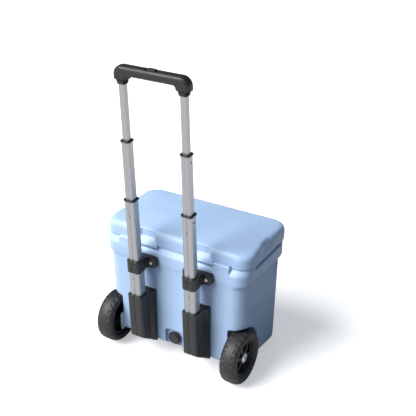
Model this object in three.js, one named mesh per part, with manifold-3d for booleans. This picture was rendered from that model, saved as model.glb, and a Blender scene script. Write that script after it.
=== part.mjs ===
// A hard-sided cooler box on two wheels, with a telescoping towing handle behind it.
// Millimetres, +Z up, front (latch side) towards -Y, handle and wheels towards +Y.
import * as THREE from 'three';
import { mergeVertices } from 'three/addons/utils/BufferGeometryUtils.js';
import Module from 'manifold-3d';

const wasm = await Module();
wasm.setup();

// ---------------------------------------------------------------- driving dimensions
const FIT = 0.3;                // gap kept between touching pieces

const TUB_HALF_WIDTH = 258;     // half width of the tub at the lid joint
const TUB_DEPTH = 271;          // front to back of the tub at the lid joint
const TUB_HEIGHT = 403;         // ground to the lid joint
const TUB_REAR = 3;             // back edge of the lid joint, behind the wheel axle
const TUB_CORNER = 40;          // upright corner radius at the lid joint
const SKIN = 3;                 // thickness of each moulded skin
const INSULATION = 38;          // wall thickness of the tub, skins and foam together
const WALL_DRAFT = 7;           // how far the lower walls draw in towards the bottom
const LOWER_CORNER = 45;        // upright corner radius of the lower tub
const UNDERSIDE_FRONT = 16;     // height of the underside at the front
const UNDERSIDE_REAR = 50;      // height of the underside at the back
const UNDERSIDE_EDGE = 18;      // rounding of the bottom edge
const FLOOR_HEIGHT = 70;        // height of the cavity floor
const LINER_INSET = 12;         // how far the liner's rim is set in from the lid joint's edge

const BAND_HEIGHT = 53;         // height of the thick band around the top of the tub
const BAND_OVERHANG = 9;        // how far the band stands out from the wall below
const BAND_CHAMFER = 15;        // height of the slope under the band
const LEDGE_DEPTH = 15;         // how far the band stands out behind the lid joint
const LEDGE_DROP = 19;          // how far the sloped rear ledge drops

const RECESS_LENGTH = 195;      // lifting recess under the band on each side
const RECESS_HEIGHT = 98;
const RECESS_DEPTH = 12;
const RECESS_CORNER = 22;
const SLOT_LENGTH = 175;        // finger slot between lid and band on each side
const SLOT_HEIGHT = 15;
const SLOT_DEPTH = 9;

const LID_HEIGHT = 57;          // lid joint to the middle of the lid's top
const LID_OVERHANG = 4;         // how far the lid stands out past the lid joint
const LID_CROWN = 6;            // rise of the top from its edge to its middle
const LID_UNDERSIDE = 5;        // thickness of the lid's lower skin
const LID_PLUG_DEPTH = 10;      // how far the lid reaches down into the cavity
const LID_PLUG_GAP = 6;         // gap around that part of the lid
const GASKET_WIDTH = 8;
const GASKET_HEIGHT = 2.8;

const HINGE_SETBACK = 5;        // hinge axis behind the lid joint's back edge
const HINGE_RISE = 1;           // hinge axis above the lid joint
const HINGE_BARREL = 8;         // radius of the hinge lugs
const HINGE_ROD = 3;            // radius of the hinge rods
const LID_LUG_HALF = 42;        // half length of each lid lug
const TUB_LUG_LENGTH = 56;      // length of each tub lug

const WHEEL_RADIUS = 88;
const WHEEL_WIDTH = 57;
const WHEEL_OUTER = 261;        // outer face of each wheel from the middle
const RIM_RADIUS = 60;
const RIM_PLATE = [2, 10];      // inner and outer face of the rim's plate, from the wheel's middle
const RIM_WEB = 2.5;            // thickness of the plate between its spokes
const HUB_RADIUS = 20;
const HUB_INSET = 11;           // hub face in from the tyre's outer face
const SPOKES = 6;
const BRACKET_HALF = 33;        // half size of the axle's square plate
const AXLE_RADIUS = 6;
const WELL_CLEARANCE = 10;      // room around the tyre in the wheel well
const WELL_SIDE_GAP = 7;        // room between the tyre and the well's inner wall

const TUBE_SPACING = 200;       // left handle tube to right handle tube, centre to centre
const TUBE_SETBACK = 53.6;      // tube axis behind the wheel axle, at the ground
const TUBE_LEAN = 0.0407;       // rise-to-run of the tubes' backward lean
const TUBE_WALL = 1.5;
const TUBE_SECTIONS = {         // outside width and depth of each telescoping section
  base: [40, 37],
  lower: [34, 31],
  middle: [28, 26],
  upper: [21, 18],
};
const BASE_TUBE = [98, 366];   // bottom and top of each section, measured up the tube
const LOWER_TRAVEL = 207;       // how far each stage slides in
const MIDDLE_TRAVEL = 185;
const UPPER_TRAVEL = 169;
const STAGE_OVERLAP = 48;       // length kept inside the section below when pulled out
const COLLAR_HEIGHT = 5;
const COLLAR_WALL = 3;
const STAGE_GAP = 2;            // gap between a collar and what it comes down on

const CLAMP_HEIGHT = 42;
const CLAMP_DROP = 22;          // lid joint to the top of the clamps
const CLAMP_WALL = 3.5;
const CLAMP_EAR_HALF = 50;
const CLAMP_EAR_THICKNESS = 20;
const CLAMP_BOLT_OFFSET = 34;

const SLEEVE_TOP = 253;
const SLEEVE_BOTTOM = 52;
const SLEEVE_BEVEL = 44;        // rise of the sleeve's bottom from the tub to its back
const SLEEVE_FOOT_HALF = 38;    // half width where the sleeve meets the tub
const SLEEVE_BACK_HALF = 26;    // half width of its back face
const SLEEVE_WALL = 5;

const GRIP_HALF_WIDTH = 123;
const GRIP_LEG = 46;            // width of each leg of the grip
const GRIP_DEPTH = 34;
const GRIP_BAR = 30;            // thickness of the bar
const GRIP_LEG_DROP = 10;       // how far the legs reach below the bar
const GRIP_CORNER = 28;
const BOOT_HEIGHT = 15;
const BUTTON_HALF = 15;
const BUTTON_DEPTH = 7;
const BUTTON_TRAVEL = 3;

const DRAIN_HEIGHT = 80;
const DRAIN_BORE = 11;
const DRAIN_WALL = 3;
const DRAIN_CAP_RADIUS = 23;
const DRAIN_CAP_LENGTH = 11.5;
const POCKET_DEPTH = 14;
const POCKET_HALF = 31;

const LATCH_HALF = 30;
const LATCH_LENGTH = 78;
const LATCH_THICKNESS = 7;
const LATCH_PIN = 2.5;

const ROUND_STEPS = 3;          // facets in each rounded corner
const ROUND_SIDES = 12;         // sides of a plain round rod or hole
const WHEEL_SIDES = 28;         // sides of the wheels

// ---------------------------------------------------------------- derived positions
const tubFront = TUB_REAR - TUB_DEPTH;
const bandBottom = TUB_HEIGHT - BAND_HEIGHT;
const wallTop = bandBottom - BAND_CHAMFER;
const bandHalf = TUB_HALF_WIDTH + 1.5;
const bandFront = tubFront - 1.5;
const bandRear = TUB_REAR + LEDGE_DEPTH;
const wallHalf = bandHalf - BAND_OVERHANG;
const wallFront = bandFront + BAND_OVERHANG;
const wallRear = bandRear - 2;
const undersideFrontY = wallFront + WALL_DRAFT;
const undersideSlope = (UNDERSIDE_REAR - UNDERSIDE_FRONT) / (wallRear - undersideFrontY);
const cavityHalf = TUB_HALF_WIDTH - INSULATION;
const cavityFront = tubFront + INSULATION;
const cavityRear = TUB_REAR - INSULATION + 5;
const hinge = { y: TUB_REAR + HINGE_SETBACK, z: TUB_HEIGHT + HINGE_RISE };
const lidBottom = TUB_HEIGHT + 2 * FIT;
const lidHalf = TUB_HALF_WIDTH + LID_OVERHANG;
const lidFront = tubFront - LID_OVERHANG;
const lidRear = TUB_REAR + LID_OVERHANG;
const tubeX = TUBE_SPACING / 2;
const wellRadius = WHEEL_RADIUS + WELL_CLEARANCE;
const wellWall = WHEEL_OUTER - WHEEL_WIDTH - WELL_SIDE_GAP;
const wheelMiddle = WHEEL_OUTER - WHEEL_WIDTH / 2;
const pocketFloor = wallRear - POCKET_DEPTH;
const clampTop = TUB_HEIGHT - CLAMP_DROP;
const lowerTop = clampTop + STAGE_GAP + LOWER_TRAVEL + COLLAR_HEIGHT;
const middleTop = lowerTop + STAGE_GAP + MIDDLE_TRAVEL + COLLAR_HEIGHT;
const bootBottom = middleTop + STAGE_GAP + UPPER_TRAVEL;
const gripBottom = bootBottom + BOOT_HEIGHT + FIT;
const gripTop = gripBottom + GRIP_LEG_DROP + GRIP_BAR;
const SIDES = [['left', -1], ['right', 1]];

// ---------------------------------------------------------------- materials
const finish = (color, roughness, metalness) =>
  new THREE.MeshStandardMaterial({ color, roughness, metalness });
const FINISH = {
  shell: finish(0xa9c6ec, 0.55, 0),
  foam: finish(0xefe3b0, 0.9, 0),
  black: finish(0x1d1e21, 0.6, 0),
  rubber: finish(0x161719, 0.85, 0),
  aluminium: finish(0xb9bcc0, 0.35, 0.9),
  steel: finish(0x8d9096, 0.3, 1),
  spring: finish(0x9a9ca0, 0.35, 1),
};

// ---------------------------------------------------------------- solid helpers
function toSolid(geometry) {
  const bare = geometry.clone();
  bare.deleteAttribute('normal');
  bare.deleteAttribute('uv');
  const merged = mergeVertices(bare, 1e-4);
  return new wasm.Manifold(new wasm.Mesh({
    numProp: 3,
    vertProperties: merged.attributes.position.array,
    triVerts: Uint32Array.from(merged.index.array),
  }));
}

function toGeometry(solid) {
  const mesh = solid.getMesh();
  const geometry = new THREE.BufferGeometry();
  geometry.setAttribute('position', new THREE.Float32BufferAttribute(mesh.vertProperties, 3));
  geometry.setIndex(new THREE.Uint32BufferAttribute(mesh.triVerts, 1));
  return geometry.toNonIndexed();
}

const join = (first, ...rest) => rest.reduce((sum, solid) => sum.add(solid), first);
const cut = (first, ...rest) => rest.reduce((sum, solid) => sum.subtract(solid), first);

// A level rounded rectangle as a ring of points; slope tips it about the line y = pivot.
function ring({ half, front, rear, radius, z, slope = 0, pivot = 0, middle = 0 }) {
  const corner = Math.max(0.5, Math.min(radius, half - 0.1, (rear - front) / 2 - 0.1));
  const centres = [
    [half - corner, rear - corner],
    [corner - half, rear - corner],
    [corner - half, front + corner],
    [half - corner, front + corner],
  ];
  return centres.flatMap(([x, y], quarter) =>
    Array.from({ length: ROUND_STEPS + 1 }, (_, step) => {
      const angle = (quarter + step / ROUND_STEPS) * Math.PI / 2;
      const py = y + corner * Math.sin(angle);
      return [middle + x + corner * Math.cos(angle), py, z + slope * (py - pivot)];
    }));
}

// A closed body through rings listed from the bottom up.
function loft(...rings) {
  const count = rings[0].length;
  const points = rings.flat();
  const index = [];
  for (let level = 0; level < rings.length - 1; level += 1) {
    for (let i = 0; i < count; i += 1) {
      const a = level * count + i;
      const b = level * count + (i + 1) % count;
      index.push(a, b, b + count, a, b + count, a + count);
    }
  }
  for (let i = 1; i < count - 1; i += 1) {
    const top = (rings.length - 1) * count;
    index.push(0, i + 1, i, top, top + i, top + i + 1);
  }
  const geometry = new THREE.BufferGeometry();
  geometry.setAttribute('position', new THREE.Float32BufferAttribute(points.flat(), 3));
  geometry.setIndex(index);
  return toSolid(geometry);
}

function prism(section, bottom, top) {
  return loft(ring({ ...section, z: bottom }), ring({ ...section, z: top }));
}

function box(x0, x1, y0, y1, z0, z1) {
  const geometry = new THREE.BoxGeometry(x1 - x0, y1 - y0, z1 - z0);
  return toSolid(geometry.translate((x0 + x1) / 2, (y0 + y1) / 2, (z0 + z1) / 2));
}

// Cylinders along each axis, from one end to the other.
function rodX(radius, x0, x1, y, z, sides = ROUND_SIDES) {
  const geometry = new THREE.CylinderGeometry(radius, radius, Math.abs(x1 - x0), sides);
  return toSolid(geometry.rotateZ(-Math.PI / 2).translate((x0 + x1) / 2, y, z));
}

function rodY(radius, y0, y1, x, z, sides = ROUND_SIDES) {
  const geometry = new THREE.CylinderGeometry(radius, radius, y1 - y0, sides);
  return toSolid(geometry.translate(x, (y0 + y1) / 2, z));
}

function rodZ(radius, z0, z1, x, y, sides = ROUND_SIDES) {
  const geometry = new THREE.CylinderGeometry(radius, radius, z1 - z0, sides);
  return toSolid(geometry.rotateX(Math.PI / 2).translate(x, y, (z0 + z1) / 2));
}

// A profile in the Y-Z plane, carried along X.
function alongX(shape, x0, x1, curveSegments = 4) {
  const geometry = new THREE.ExtrudeGeometry(shape, {
    depth: x1 - x0, bevelEnabled: false, curveSegments,
  });
  const turn = new THREE.Matrix4().set(0, 0, 1, x0, 1, 0, 0, 0, 0, 1, 0, 0, 0, 0, 0, 1);
  return toSolid(geometry.applyMatrix4(turn));
}

// A profile in the X-Z plane, carried along Y.
function alongY(shape, y0, y1, curveSegments = 4) {
  const geometry = new THREE.ExtrudeGeometry(shape, {
    depth: y1 - y0, bevelEnabled: false, curveSegments,
  });
  return toSolid(geometry.rotateX(Math.PI / 2).translate(0, y1, 0));
}

// A closed outline of [radius, position] pairs turned about the X axis.
function turnedX(outline, sides = WHEEL_SIDES) {
  const points = outline.map(([radius, along]) => new THREE.Vector2(radius, along));
  points.push(points[0].clone());
  return toSolid(new THREE.LatheGeometry(points, sides).rotateZ(-Math.PI / 2));
}

function roundedShape(x0, x1, z0, z1, radius) {
  const shape = new THREE.Shape();
  shape.moveTo(x0 + radius, z0);
  shape.lineTo(x1 - radius, z0);
  shape.absarc(x1 - radius, z0 + radius, radius, -Math.PI / 2, 0);
  shape.absarc(x1 - radius, z1 - radius, radius, 0, Math.PI / 2);
  shape.absarc(x0 + radius, z1 - radius, radius, Math.PI / 2, Math.PI);
  shape.absarc(x0 + radius, z0 + radius, radius, Math.PI, 1.5 * Math.PI);
  return shape;
}

// The mirror twin of a solid, across the middle plane.
const onSide = (solid, side) => (side > 0 ? solid : solid.mirror([1, 0, 0]));
const onBothSides = (solid) => solid.add(solid.mirror([1, 0, 0]));

// Handle pieces are drawn upright around x = y = 0 and then leaned back with the tubes.
const leanAngle = Math.atan(TUBE_LEAN);
const leaned = (solid) =>
  solid.rotate([-leanAngle * 180 / Math.PI, 0, 0]).translate([0, TUBE_SETBACK, 0]);

// ---------------------------------------------------------------- scene graph
const cooler = new THREE.Group();

function addPiece(group, name, solid, material) {
  const mesh = new THREE.Mesh(toGeometry(solid), material);
  mesh.name = name;
  group.add(mesh);
}

function addPair(group, name, solid, material) {
  for (const [sideName, side] of SIDES) {
    addPiece(group, `${name}_${sideName}`, onSide(solid, side), material);
  }
}

function addGroup(name) {
  const group = new THREE.Group();
  group.name = name;
  cooler.add(group);
  return group;
}

// ---------------------------------------------------------------- tub
// Each outline takes an inset, so that skins and foam follow the same shape.
function wheelWell(grow) {
  const radius = wellRadius + grow;
  const shape = new THREE.Shape();
  shape.moveTo(-radius, -40);
  shape.lineTo(radius, -40);
  shape.lineTo(radius, WHEEL_RADIUS);
  shape.absarc(0, WHEEL_RADIUS, radius, 0, Math.PI);
  shape.lineTo(-radius, -40);
  return onBothSides(alongX(shape, wellWall - grow, bandHalf + 60, 8));
}

function drainPocket(grow) {
  const half = POCKET_HALF + grow;
  const shape = new THREE.Shape();
  shape.moveTo(-half, -40);
  shape.lineTo(half, -40);
  shape.lineTo(half, DRAIN_HEIGHT);
  shape.absarc(0, DRAIN_HEIGHT, half, 0, Math.PI);
  shape.lineTo(-half, -40);
  return alongY(shape, pocketFloor - grow, bandRear + 40, 6);
}

const recessMiddle = tubFront + TUB_DEPTH / 2;

function sideRecess(grow) {
  const reach = RECESS_LENGTH / 2 + grow;
  const top = wallTop + FIT * 10;
  const shape = roundedShape(
    recessMiddle - reach, recessMiddle + reach, top - RECESS_HEIGHT - grow, top + grow,
    RECESS_CORNER);
  return onBothSides(alongX(shape, wallHalf - RECESS_DEPTH - grow, bandHalf + 60));
}

function rimSlot(grow) {
  const reach = SLOT_LENGTH / 2 + grow;
  const bottom = TUB_HEIGHT - SLOT_HEIGHT - grow;
  return onBothSides(box(
    bandHalf - SLOT_DEPTH - grow, bandHalf + 60, recessMiddle - reach,
    recessMiddle + reach, bottom, TUB_HEIGHT + 20));
}

function lidLugRecess(grow) {
  const reach = LID_LUG_HALF + 1 + grow;
  const radius = HINGE_BARREL + 1.5 + grow;
  return onBothSides(join(
    rodX(radius, tubeX - reach, tubeX + reach, hinge.y, hinge.z),
    box(tubeX - reach, tubeX + reach, hinge.y - radius, bandRear + 40, hinge.z, hinge.z + 30)));
}

function tubOutline(inset) {
  const level = (half, front, rear, radius, z, extra = {}) => ring({
    half: half - inset, front: front + inset, rear: rear - inset, radius: radius - inset, z,
    ...extra,
  });
  const tipped = { slope: undersideSlope, pivot: undersideFrontY };
  const bottomHalf = wallHalf - WALL_DRAFT;
  const edge = (share) => {
    const turnIn = UNDERSIDE_EDGE * (1 - Math.cos(share * Math.PI / 2));
    const rise = UNDERSIDE_EDGE * (1 - Math.sin(share * Math.PI / 2));
    return level(bottomHalf - turnIn, undersideFrontY + turnIn, wallRear - turnIn,
      LOWER_CORNER - turnIn / 2, UNDERSIDE_FRONT + rise + inset, tipped);
  };
  const outer = loft(
    edge(1), edge(0.5), edge(0),
    level(wallHalf, wallFront, wallRear, LOWER_CORNER - 5, wallTop + inset),
    level(bandHalf, bandFront, bandRear, TUB_CORNER + 8, bandBottom + inset),
    level(bandHalf, bandFront, bandRear, TUB_CORNER + 8, TUB_HEIGHT - LEDGE_DROP - inset / 2),
    level(TUB_HALF_WIDTH, tubFront, TUB_REAR, TUB_CORNER, TUB_HEIGHT - inset));
  return cut(outer, wheelWell(inset), drainPocket(inset), sideRecess(inset), rimSlot(inset),
    lidLugRecess(inset));
}

function cavityOutline(grow) {
  const level = (shrink, z) => ring({
    half: cavityHalf - shrink + grow, front: cavityFront + shrink - grow,
    rear: cavityRear - shrink + grow, radius: 30 + grow, z,
  });
  const hollow = loft(
    level(24, FLOOR_HEIGHT - grow), level(12, FLOOR_HEIGHT + 4 - grow),
    level(6, FLOOR_HEIGHT + 18 - grow), level(0, TUB_HEIGHT + 30));
  const step = INSULATION - 10 - grow;
  return cut(hollow, wheelWell(step));
}

const clampMiddle = clampTop - CLAMP_HEIGHT / 2;
const clampFace = bandRear + FIT + CLAMP_EAR_THICKNESS;
const boltPlaces = [-1, 1].map((way) => [tubeX + way * CLAMP_BOLT_OFFSET, clampMiddle]);

// Holes that the clamp bolts need in the tub's rear band.
function boltHoles(extra) {
  return onBothSides(join(...boltPlaces.map(([x, z]) =>
    rodY(3 + extra, -2, bandRear + 20, x, z, 8))));
}

// The liner's rim drops into the opening in the top of the outer shell.
function linerRim(grow, bottom, top) {
  const inset = LINER_INSET - grow;
  return prism({
    half: TUB_HALF_WIDTH - inset, front: tubFront + inset, rear: TUB_REAR - inset,
    radius: TUB_CORNER - 4,
  }, bottom, top);
}

function addTub() {
  const group = addGroup('tub');
  const lugStart = tubeX + LID_LUG_HALF + 2;
  const lug = rodX(HINGE_BARREL, lugStart, lugStart + TUB_LUG_LENGTH, hinge.y, hinge.z);
  const lugWeb = box(lugStart, lugStart + TUB_LUG_LENGTH, hinge.y - 12, hinge.y + 4,
    hinge.z - 14, TUB_HEIGHT);
  const rodHole = rodX(HINGE_ROD + FIT, tubeX - LID_LUG_HALF, lugStart + TUB_LUG_LENGTH + 6,
    hinge.y, hinge.z);
  const drainHole = rodY(DRAIN_BORE + DRAIN_WALL + FIT, cavityRear - 30, wallRear,
    0, DRAIN_HEIGHT);
  const shell = cut(join(tubOutline(0), onBothSides(join(lug, lugWeb))), tubOutline(SKIN),
    linerRim(FIT, TUB_HEIGHT - 2 * SKIN, TUB_HEIGHT + SKIN), onBothSides(rodHole), drainHole,
    boltHoles(0.4));
  addPiece(group, 'tub_shell', shell, FINISH.shell);

  const aboveRim = box(-lidHalf, lidHalf, tubFront - 20, bandRear + 20, TUB_HEIGHT,
    TUB_HEIGHT + 60);
  const liner = cut(join(cut(cavityOutline(SKIN), aboveRim),
    linerRim(0, TUB_HEIGHT - SKIN, TUB_HEIGHT)), cavityOutline(0), drainHole);
  addPiece(group, 'tub_liner', liner, FINISH.shell);

  const foam = cut(tubOutline(SKIN + FIT), cavityOutline(SKIN + FIT), boltHoles(0.9),
    rodY(DRAIN_BORE + DRAIN_WALL + 2 * FIT, cavityRear - 30, wallRear, 0, DRAIN_HEIGHT));
  addPiece(group, 'tub_foam', foam, FINISH.foam);

  const footTop = (y) => UNDERSIDE_FRONT - FIT + undersideSlope * (y - undersideFrontY);
  const footFront = undersideFrontY + 26;
  const footOutline = { half: 42, front: footFront, rear: footFront + 34, radius: 12 };
  const foot = loft(
    ring({ ...footOutline, half: 39, front: footFront + 3, rear: footFront + 31, z: 0 }),
    ring({ ...footOutline, z: 4 }),
    ring({ ...footOutline, z: footTop(footFront), slope: undersideSlope, pivot: footFront }));
  addPair(group, 'front_foot', foot.translate([cavityHalf - 50, 0, 0]), FINISH.rubber);
}

// ---------------------------------------------------------------- drain
function addDrain() {
  const group = addGroup('drain');
  const outer = DRAIN_BORE + DRAIN_WALL;
  const innerEnd = cavityRear - 8;
  const bushing = cut(
    join(rodY(outer, innerEnd, pocketFloor + FIT + 1, 0, DRAIN_HEIGHT),
      rodY(outer + 5, pocketFloor + FIT, pocketFloor + FIT + 2, 0, DRAIN_HEIGHT)),
    rodY(DRAIN_BORE, innerEnd - 5, pocketFloor + 10, 0, DRAIN_HEIGHT));
  addPiece(group, 'drain_bushing', bushing, FINISH.black);

  const washerY = pocketFloor + 2 * FIT + 2;
  const washer = cut(rodY(outer + 4, washerY, washerY + 2.5, 0, DRAIN_HEIGHT),
    rodY(DRAIN_BORE + 0.2, washerY - 5, washerY + 10, 0, DRAIN_HEIGHT));
  addPiece(group, 'drain_washer', washer, FINISH.rubber);

  const capY = washerY + 2.5 + FIT;
  const cap = new THREE.Shape();
  const lobes = 12;
  for (let i = 0; i <= lobes * 4; i += 1) {
    const angle = i / (lobes * 4) * 2 * Math.PI;
    const radius = DRAIN_CAP_RADIUS - 1.5 * (i % 4 === 0 ? 1 : 0);
    const place = [radius * Math.cos(angle), DRAIN_HEIGHT + radius * Math.sin(angle)];
    if (i === 0) cap.moveTo(...place);
    else cap.lineTo(...place);
  }
  const plug = join(alongY(cap, capY, capY + DRAIN_CAP_LENGTH),
    rodY(DRAIN_BORE - 0.5, capY - 24, capY + 1, 0, DRAIN_HEIGHT));
  addPiece(group, 'drain_plug', plug, FINISH.black);
}

// ---------------------------------------------------------------- lid
function lidPlugOutline(inset, bottom, top) {
  const gap = LID_PLUG_GAP + inset;
  return prism({
    half: cavityHalf - gap, front: cavityFront + gap, rear: cavityRear - gap, radius: 26 - inset,
  }, bottom, top);
}

function lidChannels(grow) {
  const half = 28 + grow;
  return onBothSides(box(tubeX - half, tubeX + half, lidRear - 11 - grow, lidRear + 30,
    lidBottom - 20, lidBottom + 2 * LID_HEIGHT));
}

function lidOutline(inset, base) {
  const top = TUB_HEIGHT + LID_HEIGHT - inset;
  const level = (shrink, z) => ring({
    half: lidHalf - shrink - inset, front: lidFront + shrink + inset,
    rear: lidRear - shrink - inset, radius: TUB_CORNER + 4 + shrink / 3 - inset, z,
  });
  const edge = top - LID_CROWN;
  const body = loft(
    level(0, base), level(0, edge - 18), level(3, edge - 9), level(9, edge - 3),
    level(21, edge), level(58, top - LID_CROWN / 2), level(105, top));
  return cut(body, lidChannels(inset));
}

function addLid() {
  const group = addGroup('lid');
  const lugs = join(
    rodX(HINGE_BARREL, tubeX - LID_LUG_HALF, tubeX + LID_LUG_HALF, hinge.y, hinge.z),
    box(tubeX - LID_LUG_HALF, tubeX + LID_LUG_HALF, hinge.y - 16, hinge.y, lidBottom,
      lidBottom + 9));
  const lugStart = tubeX + LID_LUG_HALF + 1;
  const tubLugRoom = rodX(HINGE_BARREL + 1, lugStart, lugStart + TUB_LUG_LENGTH + 5,
    hinge.y, hinge.z);
  const rodHole = rodX(HINGE_ROD + FIT, tubeX - LID_LUG_HALF + 2, lugStart + 5,
    hinge.y, hinge.z);
  const hollow = join(
    cut(lidOutline(SKIN, lidBottom + LID_UNDERSIDE), onBothSides(
      rodX(HINGE_BARREL + 1 + SKIN, lugStart - SKIN, lugStart + TUB_LUG_LENGTH + 5 + SKIN,
        hinge.y, hinge.z))),
    lidPlugOutline(SKIN, lidBottom - LID_PLUG_DEPTH + SKIN, lidBottom + LID_UNDERSIDE + 1));
  const grooveTop = TUB_HEIGHT + FIT + GASKET_HEIGHT + FIT;
  const groove = cut(lidPlugOutline(-GASKET_WIDTH - 2 * FIT - 3, lidBottom - 5, grooveTop),
    lidPlugOutline(-3, lidBottom - 10, grooveTop + 5));
  const plugBottom = lidBottom - LID_PLUG_DEPTH;
  const port = rodZ(8, plugBottom - 5, plugBottom + SKIN + 5, 0, recessMiddle);
  const shell = cut(
    join(cut(lidOutline(0, lidBottom), onBothSides(tubLugRoom)), onBothSides(lugs),
      lidPlugOutline(0, plugBottom, lidBottom + 1)),
    hollow, groove, onBothSides(rodHole), port);
  addPiece(group, 'lid_shell', shell, FINISH.shell);

  const foam = cut(join(
    cut(lidOutline(SKIN + FIT, lidBottom + LID_UNDERSIDE + FIT), onBothSides(
      rodX(HINGE_BARREL + 1 + SKIN + FIT, lugStart - SKIN - FIT,
        lugStart + TUB_LUG_LENGTH + 5 + SKIN + FIT, hinge.y, hinge.z))),
    lidPlugOutline(SKIN + FIT, plugBottom + SKIN + FIT, lidBottom + LID_UNDERSIDE + 1)),
  rodZ(8, plugBottom - 5, plugBottom + SKIN + 5, 0, recessMiddle));
  addPiece(group, 'lid_foam', foam, FINISH.foam);
  addPiece(group, 'lid_port_plug',
    rodZ(8 - FIT, plugBottom, plugBottom + SKIN + 3, 0, recessMiddle), FINISH.black);

  const gasket = cut(
    lidPlugOutline(-GASKET_WIDTH - FIT - 3, TUB_HEIGHT + FIT, TUB_HEIGHT + FIT + GASKET_HEIGHT),
    lidPlugOutline(-3 - FIT, TUB_HEIGHT - 5, TUB_HEIGHT + 10));
  addPiece(group, 'lid_gasket', gasket, FINISH.rubber);

  const rod = rodX(HINGE_ROD, tubeX - LID_LUG_HALF + 3, lugStart + TUB_LUG_LENGTH + 3,
    hinge.y, hinge.z);
  addPair(group, 'hinge_rod', rod, FINISH.steel);
}

// ---------------------------------------------------------------- latch
function addLatch() {
  const group = addGroup('latch');
  const pin = { y: lidFront - 11, z: lidBottom + 19 };
  const earIn = LATCH_HALF + 0.6;
  const earOut = earIn + 5;
  const ear = new THREE.Shape();
  ear.moveTo(lidFront - FIT - 3, pin.z - 9);
  ear.lineTo(pin.y, pin.z - 6);
  ear.absarc(pin.y, pin.z, 6, 1.5 * Math.PI, Math.PI / 2, true);
  ear.lineTo(lidFront - FIT - 3, pin.z + 9);
  const mount = cut(
    join(alongY(roundedShape(-earOut, earOut, pin.z - 11, pin.z + 11, 3),
      lidFront - FIT - 3.5, lidFront - FIT), onBothSides(alongX(ear, earIn, earOut))),
    rodX(LATCH_PIN + FIT, -earOut - 5, earOut + 5, pin.y, pin.z));
  addPiece(group, 'latch_mount', mount, FINISH.black);
  addPiece(group, 'latch_pin', rodX(LATCH_PIN, -earOut, earOut, pin.y, pin.z), FINISH.steel);

  const inner = pin.y + 3;
  const outer = inner - LATCH_THICKNESS;
  const foot = pin.z - LATCH_LENGTH;
  const lever = new THREE.Shape();
  lever.moveTo(inner, pin.z - 4);
  lever.lineTo(inner, foot + 6);
  lever.quadraticCurveTo(inner, foot, outer - 6, foot - 2);
  lever.lineTo(outer - 8, foot + 2);
  lever.quadraticCurveTo(outer, foot + 6, outer, foot + 18);
  lever.lineTo(outer, pin.z);
  lever.lineTo(pin.y, pin.z);
  const leverSolid = cut(
    join(alongX(lever, -LATCH_HALF, LATCH_HALF),
      rodX(5.5, -LATCH_HALF, LATCH_HALF, pin.y, pin.z)),
    rodX(LATCH_PIN + FIT, -earOut - 5, earOut + 5, pin.y, pin.z));
  addPiece(group, 'latch_lever', leverSolid, FINISH.black);

  const keeperTop = TUB_HEIGHT - 8;
  const keeper = join(
    alongY(roundedShape(-LATCH_HALF - 4, LATCH_HALF + 4, bandBottom + 3, keeperTop, 5),
      bandFront - FIT - 3, bandFront - FIT),
    alongY(roundedShape(-LATCH_HALF + 6, LATCH_HALF - 6, bandBottom + 10, keeperTop - 8, 3),
      inner + 1, bandFront - FIT - 2));
  addPiece(group, 'latch_keeper', keeper, FINISH.black);
}

// ---------------------------------------------------------------- wheels
function addWheel(name, side) {
  const group = addGroup(`wheel_${name}`);
  const place = (solid) => onSide(solid.translate([wheelMiddle, 0, WHEEL_RADIUS]), side);
  const half = WHEEL_WIDTH / 2;
  const tyre = turnedX([
    [RIM_RADIUS, half - 6], [RIM_RADIUS, 6 - half], [RIM_RADIUS + 7, 1.5 - half],
    [WHEEL_RADIUS - 10, -half], [WHEEL_RADIUS - 3.5, 4.5 - half], [WHEEL_RADIUS, 14 - half],
    [WHEEL_RADIUS, half - 14], [WHEEL_RADIUS - 3.5, half - 4.5], [WHEEL_RADIUS - 10, half],
    [RIM_RADIUS + 7, half - 1.5],
  ]);
  addPiece(group, `tyre_${name}`, place(tyre), FINISH.rubber);

  const outerRim = RIM_RADIUS - FIT;
  const barrel = turnedX([
    [outerRim, 8 - half], [outerRim, half - 8], [outerRim - 5, half - 8], [outerRim - 5, 8 - half],
  ]);
  const windows = Array.from({ length: SPOKES }, (_, spoke) => {
    const middle = (spoke + 0.5) * 2 * Math.PI / SPOKES;
    const wide = 0.36;
    const window = new THREE.Shape();
    window.absarc(0, 0, outerRim - 8, middle - wide, middle + wide);
    window.absarc(0, 0, HUB_RADIUS + 6, middle + wide * 0.7, middle - wide * 0.7, true);
    window.closePath();
    return alongX(window, RIM_PLATE[0] + RIM_WEB, half, 2);
  });
  const plate = cut(rodX(outerRim - 3, ...RIM_PLATE, 0, 0, WHEEL_SIDES), ...windows);
  const hubOut = half - HUB_INSET;
  const hubIn = 8 - half;
  const boreRadius = AXLE_RADIUS + 3;
  const rim = cut(
    join(barrel, plate, rodX(HUB_RADIUS, hubIn, hubOut, 0, 0)),
    rodX(boreRadius, -half - 5, half + 5, 0, 0), rodX(13, hubOut - 10, half, 0, 0));
  addPiece(group, `rim_${name}`, place(rim), FINISH.black);

  const bush = cut(rodX(boreRadius - FIT, hubIn, hubOut - 11, 0, 0),
    rodX(AXLE_RADIUS + FIT, -half - 5, half + 5, 0, 0));
  addPiece(group, `wheel_bush_${name}`, place(bush), FINISH.black);
}

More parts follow.
